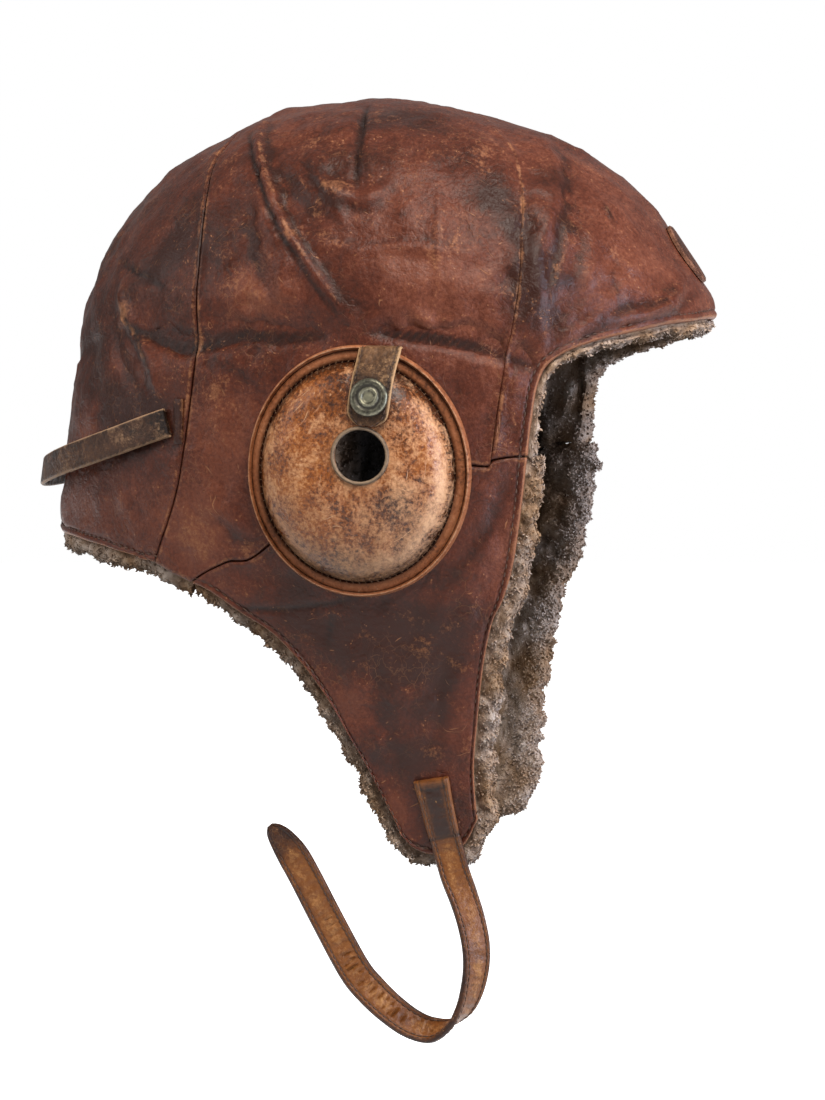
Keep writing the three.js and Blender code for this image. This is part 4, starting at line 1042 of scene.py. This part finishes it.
def hood_marks(side, rows, share):
    """Where the hood is rubbed, with a painted highlight on the shoulder toward the brow; darker
    towards the top and bottom, round the tab and in a spot low at the front; painted shade along its
    foot. Seen from outside with the brow to the right.
    """
    front, drop = -rows[..., 1], CROWN_TOP - rows[..., 2]
    shoulder = hill(share, 0.86, 0.09) * (rows[..., 0] * -side > 0)
    turn = np.arctan2(drop - HOOD_OVAL[1], front - HOOD_OVAL[0])
    lit_side = 0.5 + 0.5 * np.cos(turn - 0.35)
    # The shoulder toward the brow is paler: wear, and a painted highlight.
    rub = 0.2 + 0.1 * lit_side + 0.22 * shoulder * (0.3 + 0.7 * lit_side) - 0.16 * ease(128, 108, drop)
    lower = ease(152, 178, drop)
    stain = 0.42 * lower * (1 - 0.5 * shoulder) + 0.3 * ease(128, 108, drop)
    # Painted shade along the foot, where the hood stands on the ring.
    stain = stain + 0.8 * hill(share, 1, 0.06)
    stain = stain + 0.75 * np.exp(-(((front - TAB_PLACE[0]) / 10) ** 2 + ((drop - TAB_PLACE[1]) / 19) ** 2))
    stain = stain + 0.5 * np.exp(-((front - 27) ** 2 + (drop - 152) ** 2) / 90)
    return {"rub": rub, "stain": np.clip(stain, 0, 1), "edge": 0.6 * hill(share, 0.03, 0.06)}


tan_thread = thread_finish("tan_linen_thread", "#75502f")
pressed_hood = aged_leather("pressed_sole_leather", "#3a1e10", "#884a1e", "#ad6e38", "#cfa078", 0.29,
                            clouds=13.0, scratched=1.0, crackled=0.15, grain=0.35, speckled=1.0,
                            creased=0.1, shine=0.3)


def dented(angle, share, front, drop):
    """The hood's gentle dents, which leave its foot flat."""
    at = np.stack(np.broadcast_arrays(0 * front, front, drop), -1)
    return (0.35 * ripple(at, 16, 31) + 0.14 * ripple(at, 6, 32)) * np.clip(4 * (1 - share), 0, 1)


for side, name in SIDES:
    rows, share = hoop(side, HEARING_HOLE, HOOD_OVAL, HOOD_SECTION, 200, dented)
    hoop_piece(f"{name}_ear_cover", rows, pressed_hood, hood_marks(side, rows, share), "cover_leather")
    foot = []
    front, drop, long, tall = HOOD_OVAL
    for angle in np.linspace(0, 2 * math.pi, 96, endpoint=False):
        cos, sin = math.cos(angle), math.sin(angle)
        low = beside(side, front + (long + 0.3) * cos, drop + (tall + 0.3) * sin, 1.7)
        high = beside(side, front + (long - 0.9) * cos, drop + (tall - 1.0) * sin, 4.6)
        out = np.array([-side * 0.5, -cos, -sin]) / math.sqrt(1.25)
        foot.append((np.stack([low, high]), np.tile(out, (2, 1))))
    sew(f"{name}_hood_stitches", foot, tan_thread, "cover_leather", pitch=9.0, length=2.6, thick=0.36)

# A rolled rim of thinner leather finishes the hearing hole. Behind it the hood is hollow and dark.
RIM_INSIDE, RIM_OUTSIDE = (15.9, 131.9, 9.0, 9.0), (15.9, 131.9, 10.4, 10.4)
RIM_SECTION = [(0, 12.3), (0.02, 12.75), (0.15, 13.08), (0.4, 13.2), (0.65, 13.12), (0.85, 12.85),
               (0.97, 12.5), (1, 12.3)]
edge_leather = aged_leather("burnished_edge_leather", "#1c110b", "#4a3729", "#624c3a", "#86705a", 0.5,
                            clouds=14.0, scratched=0.2, crackled=0.1, grain=0.3)
for side, name in SIDES:
    rows, share = hoop(side, RIM_INSIDE, RIM_OUTSIDE, RIM_SECTION, 96)
    hoop_piece(f"{name}_hole_rim", rows, edge_leather, {"rub": 0.35 + 0.4 * hill(share, 0.4, 0.3)},
               "tab_leather")

# The tab comes from under the shell, over the ring and down on the hood: two layers of leather
# sewn along both edges, cut to a blunt point and closed by the snap.
TAB_LINE = np.array([(21.5, 94.3, 1.4, 7.7), (21.4, 94.7, 3.6, 7.7), (21.3, 96.4, 4.9, 7.6),
                     (20.9, 99.4, 6.9, 7.5), (20.4, 103.8, 9.9, 7.5), (19.8, 108.8, 11.9, 7.5),
                     (19.2, 114.6, 13.1, 7.5), (18.8, 118.2, 13.3, 7.0), (18.6, 120.0, 13.3, 5.4),
                     (18.5, 121.3, 13.3, 3.5)])


def strap(name, middles, acrosses, halves, thick, material, slot, section, marks, step=0.9,
          steps_across=18, lower=0.0):
    """A flat band along middle points in mm. Section gives the height of its outer face over the
    share across from -1 to 1, and marks what is rubbed, stained or pressed there."""
    length = walked(middles)
    count = max(4, int(length[-1] / step) + 1)
    at = np.linspace(0, length[-1], count)
    middle, across = along(middles, at / length[-1]), along_with(acrosses, length, at)
    across = unit(across)
    half = np.interp(at, length, halves)
    ahead = np.gradient(middle, axis=0)
    normal = np.cross(ahead, across)
    normal = unit(normal)
    share = np.sin(np.linspace(-1, 1, steps_across) * math.pi / 2)
    flat = middle[:, None] + across[:, None] * (half[:, None] * share)[..., None]
    where, places = np.meshgrid(at, share, indexing="ij")
    rise = section(where, places, flat)
    round_off = 0.5 * thick * np.clip((np.abs(places) - 0.86) / 0.14, 0, 1) ** 2
    top = flat + normal[:, None] * (thick / 2 + rise - round_off)[..., None]
    base = flat - normal[:, None] * (thick / 2 + lower * rise - round_off)[..., None]
    wall(name, top, base, marks(where, places, flat), material, slot, flat_above=60)
    return middle, across, normal, half


def rows_beside(line, inset_mm, height):
    """A row of stitches along a strap, a distance in from either edge."""
    middle, across, normal, half = line
    return [(middle + across * (sign * (half - inset_mm))[:, None] + normal * height, normal)
            for sign in (-1, 1)]


tab_leather = aged_leather("tab_harness_leather", "#1f130c", "#573c27", "#745339", "#a27f5b", 0.5,
                           clouds=12.0, scratched=0.3, crackled=0.15, grain=0.5)


def tab_marks(at, share, flat):
    edge = hill(np.abs(share), 1, 0.07)
    snap = hill(at, 21, 9.0)
    return {"rub": 0.95 * edge + 0.15, "stain": 0.75 * snap,
            "seam": 0.5 * hill(np.abs(share), 0.8, 0.05)}


for side, name in SIDES:
    rough = smooth(TAB_LINE)
    middles = beside(side, rough[:, 0], rough[:, 1], rough[:, 2])
    ahead = np.gradient(middles, axis=0)
    ahead = unit(ahead)
    across = np.array([0.0, -1.0, 0.0]) - ahead * (ahead @ np.array([0.0, -1.0, 0.0]))[:, None]
    if side < 0:
        across = -across
    line = strap(f"{name}_ear_tab", middles, across, rough[:, 3], 1.5, tab_leather, "tab_leather",
                 lambda at, share, flat: -0.25 * hill(np.abs(share), 0.8, 0.07), tab_marks,
                 step=0.6, steps_across=16)
    sew(f"{name}_tab_stitches", rows_beside(line, 1.5, 0.72), linen_thread, "tab_leather",
        pitch=2.2, length=1.6, thick=0.4)

# The snap: a pressed brass cap, its outer ring plain and dark with age, a raised collar and a
# dished middle where the plating is worn pale.
SNAP_PLACE = (19.5, 111.6, 13.65)
SNAP_PROFILE = [(0, 1.35), (0.9, 1.3), (1.5, 1.15), (2.0, 1.2), (2.3, 1.55), (2.7, 1.95), (3.1, 1.95),
                (3.5, 1.6), (3.9, 1.3), (4.3, 1.4), (4.8, 1.68), (5.4, 1.72), (6.0, 1.62), (6.5, 1.25),
                (6.75, 0.8), (6.75, 0.25), (6.6, 0), (0, 0)]


def metal_finish(name, dark, pale, rough):
    """Old brass plate: dark in the hollows, pale where it is handled, with fine scratches."""
    made, place, worn = new_material(name, "worn")
    dull = noise(place, 900.0, 4.0)
    bright = (dull * 0.9 - 0.45).maths("ADD", worn, clamp=True)
    finish(dull, 0.35, 0.2, {"Base Color": blend(bright, dark, pale), "Metallic": bright * 0.35 + 0.6,
                             "Roughness": bright * -0.16 + rough})
    return made


dull_brass = metal_finish("dull_plated_brass", "#2c2922", "#a39f86", 0.44)


def turned_part(name, seat, axis, profile, worn, material, slot, steps=48):
    """A closed turned part from a profile of radius and height, closed at the poles."""
    axis = axis / np.linalg.norm(axis)
    first = np.cross(axis, (0.0, 0.0, 1.0))
    first /= np.linalg.norm(first)
    second = np.cross(axis, first)
    angle = np.linspace(0, 2 * math.pi, steps, endpoint=False)
    spokes = np.cos(angle)[:, None] * first + np.sin(angle)[:, None] * second
    rows = np.stack([seat + spokes * r + axis * h for r, h in profile], 1)
    made = closed_piece(name, rows, {"worn": np.tile(worn, steps)}, material, flat_above=70)
    settle(made, slot, name)


for side, name in SIDES:
    seat = beside(side, *SNAP_PLACE)
    slope = beside(side, 19.2, 114.4, 13.1) - beside(side, 19.8, 108.6, 12)
    slope /= np.linalg.norm(slope)
    axis = np.array([-side, 0.0, 0.0])
    axis = axis - slope * (axis @ slope)
    turned_part(f"{name}_snap_cap", seat, axis, SNAP_PROFILE,
                [0.95, 0.9, 0.6, 0.1, 0.2, 0.45, 0.4, 0.1, -0.2, -0.1, 0.15, 0.1, 0.2, 0.3, 0, 0, 0, 0],
                dull_brass, "dark_brass")

# The back strap: one layer of harness leather with burnished edges that comes out of the shell
# beside either rear seam, over a small patch, and stands off round the back of the head.
STRAP_LINE = [(125.2, 121.2, 1.25), (130, 124, 2.4), (138, 129, 4.4), (148, 134.5, 6.4), (160, 140, 8.2),
              (170, 143.3, 9.4), (180, 144.5, 9.8)]
PATCH_DEGREES, PATCH_DROPS = (121.7, 123.7), (112.6, 128.8)
across, down = np.linspace(-1, 1, 9)[None, :], np.linspace(-1, 1, 30)[:, None]
bulge = 0.4 * (1 - across ** 4) * (1 - down ** 8)
for side, name in SIDES:
    degrees, drops = np.linspace(*PATCH_DEGREES, 9)[None, :], np.linspace(*PATCH_DROPS, 30)[:, None]
    grid = spots(np.stack(np.broadcast_arrays(side * degrees, drops), -1))
    wall(f"{name}_strap_patch", below(grid, -(0.95 + bulge)), below(grid, np.full_like(bulge, -0.35)),
         {"rub": 0.25 * np.abs(across) ** 3 + 0 * bulge, "stain": np.full_like(bulge, 0.9)},
         waxed_goatskin, "shell_leather")

harness = aged_leather("harness_leather", "#170d08", "#472f22", "#63442f", "#94755a", 0.44,
                       clouds=13.0, scratched=0.6, crackled=0.5, grain=0.5)
around = smooth(np.array(STRAP_LINE + [(360 - a, d, l) for a, d, l in STRAP_LINE[-2::-1]], float))
middles = below(spots(around[:, :2]), -around[:, 2])
ahead = np.gradient(middles, axis=0)
across = np.cross(ahead, outward(spots(around[:, :2])))


def back_marks(at, share, flat):
    edge = hill(np.abs(share), 1, 0.1)
    ends = hill(at, 0, 6) + hill(at, at.max(), 6)
    return {"rub": 0.9 * edge + 0.12, "stain": 0.7 * ends + 0.15,
            "seam": 0.35 * hill(np.abs(share), 0.78, 0.06)}


line = strap("back_strap", middles, unit(across), np.full(len(middles), 5.4), 1.8, harness, "strap_leather",
             lambda at, share, flat: 0.16 * ripple(flat, 7, 41) - 0.15 * hill(np.abs(share), 0.78, 0.07),
             back_marks, step=1.2)
sew("back_strap_stitches", rows_beside(line, 1.2, 0.8), linen_thread, "strap_leather",
    pitch=2.6, length=1.9, thick=0.38)

# The chin strap: a core wrapped in softer leather, its edges folded in and sewn with two rows. The
# sewn end lies on the right flap under a border of four seams; the rest hangs free and curls up.
CHIN_SEWN = np.array([(34.3, 250.5, 6.6), (35.8, 259.3, 6.2), (37.6, 268.8, 5.9), (39.8, 277.9, 5.7)])
CHIN_FREE = np.array([
    (42.1, 285.9, 61.2, 5.6, 12), (45.2, 294.1, 61.2, 5.6, 28), (48.1, 302.6, 61.8, 5.7, 35),
    (50.1, 311.9, 62.5, 5.8, 40), (50.2, 320.6, 63, 5.8, 47), (48.4, 329.6, 63, 5.8, 57),
    (45.4, 336.4, 63, 5.8, 70), (40.6, 341.4, 63, 5.8, 93), (33.9, 343.6, 63, 5.8, 127),
    (26.7, 341.4, 64, 5.8, 144), (19, 336, 65, 5.9, 151), (11.7, 329, 66, 6, 158),
    (5.4, 321.5, 66, 6, 165), (-4, 304.8, 66, 6, 172), (-13.3, 287.3, 66, 6, 176),
    (-17.8, 279.7, 66, 5.9, 178), (-22, 274, 66, 4.8, 180), (-24.8, 270.9, 66, 3.2, 180),
    (-26.2, 269.3, 66, 1.0, 180)])
sewn_at = beside(1, CHIN_SEWN[:, 0], CHIN_SEWN[:, 1], 1.45)
free_at = np.stack([-CHIN_FREE[:, 2], -CHIN_FREE[:, 0], CROWN_TOP - CHIN_FREE[:, 1]], -1)
knots = np.vstack([sewn_at, free_at])
ahead = np.gradient(knots, axis=0)
ahead[:, 0] = 0
ahead = unit(ahead)
flat_way = -np.cross((-1.0, 0.0, 0.0), ahead)
twist = np.radians(np.concatenate([[0, 0, 0, 3], CHIN_FREE[:, 4]]))[:, None]
across = flat_way * np.cos(twist) + np.array([-1.0, 0.0, 0.0]) * np.sin(twist)
widths = np.concatenate([CHIN_SEWN[:, 2], CHIN_FREE[:, 3]])
bundle = smooth(np.hstack([knots, across, widths[:, None]]))


def chin_section(at, share, flat):
    """Folded edges stand up, the middle sinks and wrinkles across where the strap bends."""
    end = at.max()
    border = 0.35 * hill(np.abs(share), 0.82, 0.16)
    rows_of = -0.28 * hill(np.abs(share), 0.66, 0.06) - 0.2 * hill(np.abs(share), 0.84, 0.05)
    bent = hill(at, 0.63 * end, 32) + 0.25
    waves = np.sin(at * 1.9 + 2.2 * np.sin(at * 0.31) + 1.4 * share) + 0.5 * np.sin(
        at * 3.1 - 2.5 * share + 1.5 * np.sin(at * 0.53))
    wrinkle = 0.6 * bent * waves * np.exp(-(share / 0.5) ** 4)
    top = 0.5 * hill(at, 1.2, 1.1) - 0.5 * hill(at, 3.2, 0.7)
    cross = -0.4 * hill(at, 22.5, 0.6)
    return border + rows_of + wrinkle + top * (np.abs(share) < 0.8) + cross


def chin_marks(at, share, flat):
    end = at.max()
    sewn = 1 - ease(20, 24, at)
    panel_dark = sewn * np.exp(-(share / 0.55) ** 6) * ease(2.5, 4, at)
    rim = sewn * (1 - np.exp(-(share / 0.62) ** 6))
    tip = ease(end - 20, end - 4, at)
    edge = hill(np.abs(share), 1, 0.13)
    middle = np.exp(-(share / 0.42) ** 4) * (1 - sewn) * (1 - tip)
    stain = 0.85 * panel_dark + 0.85 * tip + 0.8 * edge * (1 - sewn)
    seam = hill(np.abs(share), 0.66, 0.045) + 0.6 * hill(np.abs(share), 0.84, 0.04)
    seam = seam + hill(at, 22.5, 0.5) + hill(at, 3.2, 0.6) * (np.abs(share) < 0.7)
    return {"rub": np.clip(0.25 * middle + 0.1 * rim, 0, 1), "stain": np.clip(stain, 0, 1),
            "seam": np.clip(0.8 * seam, 0, 0.9), "edge": 0.3 * rim + 0.2 * middle}


wrapped_strap = aged_leather("wrapped_strap_leather", "#28130a", "#6c3f1e", "#84532a", "#ab7c4c", 0.34,
                             clouds=24.0, scratched=0.3, crackled=0.2, grain=0.4, speckled=0.25,
                             creased=0.3, shine=0.22)
line = strap("chin_strap", bundle[:, :3], bundle[:, 3:6], bundle[:, 6], 2.0, wrapped_strap,
             "strap_leather", chin_section, chin_marks, steps_across=40, lower=1.0)
ROWS = slice(6, -14)  # the stitches end short of the sewn end and of the point
sew("chin_strap_stitches", [(points[ROWS], ups[ROWS] * np.sign(high)) for far in (1.05, 2.0)
                            for high in (1.12, -1.12) for points, ups in rows_beside(line, far, high)],
    linen_thread, "strap_leather", pitch=2.4, length=1.8, thick=0.5)

# The disc at the middle of the brow: a plain round of dark brown leather, sewn on with one row of
# small stitches inside its cut edge, which is rubbed a little paler.
DISC_RADIUS, DISC_THICK, SPOKES = 12.6, 1.6, 72
drop = DISC_PLACE[1]
slope = float(front_at(np.array(drop + 1.0)) - front_at(np.array(drop - 1.0))) / 2
down = np.array([0.0, -slope, -1.0]) / math.hypot(1, slope)
angle = np.linspace(0, 2 * math.pi, SPOKES, endpoint=False)[:, None]
reach = DISC_RADIUS * np.linspace(0, 1, 15)[None, :]
z = CROWN_TOP - drop + reach * np.sin(angle) * down[2]
x = reach * np.cos(angle)
power, wide, long = power_at(CROWN_TOP - z), wide_at(CROWN_TOP - z), front_at(CROWN_TOP - z)
y = -long * (1 - np.abs(x / wide) ** power) ** (1 / power)
seat = np.stack([x, y, z], -1)
out = np.array([0.0, down[2], -down[1]])
share = reach / DISC_RADIUS * np.ones_like(angle)
lift = DISC_THICK - 0.5 * np.clip((share - 0.93) / 0.07, 0, 1) ** 2 - 0.25 * hill(share, 0.86, 0.03)
top, base = (seat + out * (0.35 + up)[..., None] for up in (lift, 0 * lift))
rows = np.concatenate([top, base[:, ::-1]], 1)
both = np.concatenate([share, share[:, ::-1]], 1).ravel()
marks = {"rub": 0.1 + 0.3 * hill(both, 1, 0.06), "stain": 0.2 + 0 * both,
         "seam": 0.5 * hill(both, 0.86, 0.04)}
disc_leather = aged_leather("disc_leather", "#22120c", "#4a291c", "#5e3828", "#8a6049", 0.5,
                            clouds=8.0, scratched=0.3, crackled=0.1, grain=0.5)
settle(closed_piece("forehead_disc", rows, marks, disc_leather), "cover_leather", "forehead_disc")
stitched = top[np.arange(SPOKES + 1) % SPOKES, 12]
sew("disc_stitches", [(stitched, np.tile(out, (SPOKES + 1, 1)))],
    linen_thread, "cover_leather", pitch=2.4, length=1.7, thick=0.4)

# On the left flap, away from the photograph, a short strap folded round one plain wire buckle.
for name, made_of in (("buckle_strap", harness), ("chin_buckle", dull_brass)):
    carried_over = bpy.data.objects[name].data
    carried_over.materials.clear()
    carried_over.materials.append(made_of)

# The studio: a pale floor well below the helmet, which hangs as it sits on a head, soft light from
# all round with one large soft window over the wearer's right shoulder, and the photograph's view.
VIEW_SHARE = 0.385  # mm to a pixel of the 825 x 1100 frame where the camera aims
AIM = np.array([0.0, -14.4, -159.9])
VIEW_FROM = np.array([-0.9793, -0.1903, 0.0698])
DISTANCE = 1100.0

floor_mesh = bpy.data.meshes.new("floor")
FLOOR_RADIUS, FLOOR_LEVEL, CORNERS = 4, -0.46, 48  # m
round_way = [k * math.pi / 24 for k in range(CORNERS)]
floor_mesh.from_pydata([(FLOOR_RADIUS * math.cos(turn), FLOOR_RADIUS * math.sin(turn), FLOOR_LEVEL)
                        for turn in round_way], [], [tuple(range(CORNERS))])
floor = new_object("floor", floor_mesh)
paper = bpy.data.materials.new("white_paper")
paper.use_nodes = True
for key, value in (("Base Color", colour("#f4f4f4")), ("Roughness", 0.95),
                   ("Emission Color", colour("#ffffff")), ("Emission Strength", 0.85)):
    paper.node_tree.nodes["Principled BSDF"].inputs[key].default_value = value
floor_mesh.materials.append(paper)
floor.visible_diffuse = False  # white paper to the eye; the light from below comes from the room

sky = bpy.data.worlds.new("soft_room")
bpy.context.scene.world = sky
sky.use_nodes = True
room = sky.node_tree
room.nodes.clear()
# White to the camera; as a light it is softer, and dimmer from below.
height = add(room, "ShaderNodeSeparateXYZ", {0: add(room, "ShaderNodeTexCoord", out="Generated")}, out="Z")
glow = spread(height, -0.6, 0.9, 0.16, 0.46)
seen = add(room, "ShaderNodeLightPath", out="Is Camera Ray")
glow = add(room, "ShaderNodeMix", {0: seen, 2: glow, 3: 1.0}, data_type="FLOAT")
around_us = add(room, "ShaderNodeBackground", {"Color": (1.0, 1.0, 1.0, 1.0), "Strength": glow})
add(room, "ShaderNodeOutputWorld", {"Surface": around_us})
bpy.context.scene.view_settings.view_transform = "Standard"


def look_at(made, place, target):
    """Turns a lamp or camera at a place in mm towards a target."""
    place, target = np.asarray(place, float) / 1000, np.asarray(target, float) / 1000
    back = unit(place - target)
    right = unit(np.cross((0, 0, 1), back))
    up = np.cross(back, right)
    turn = np.eye(4)
    turn[:3] = np.stack([right, up, back, place], 1)
    made.matrix_world = mathutils.Matrix(turn.tolist())


for name, place, size, power, tint in (("window", (-800, -500, 1000), 0.6, 24.0, "#fff8ee"),
                                       ("front", (-350, -1300, 60), 0.6, 22.0, "#dde8ff"),
                                       ("behind", (-700, 1100, 500), 0.9, 9.0, "#ffffff")):
    lamp = bpy.data.lights.new(name, "AREA")
    lamp.size = size
    lamp.energy = power
    lamp.color = colour(tint)[:3]
    light = new_object(name, lamp)
    look_at(light, place, (0, 0, -120))

lens = bpy.data.cameras.new("camera")
lens.sensor_fit = "AUTO"
lens.sensor_width = 36.0
lens.lens = 36.0 * DISTANCE / (1100 * VIEW_SHARE)
camera = new_object("camera", lens)
look_at(camera, AIM + DISTANCE * VIEW_FROM, AIM)
bpy.context.scene.camera = camera
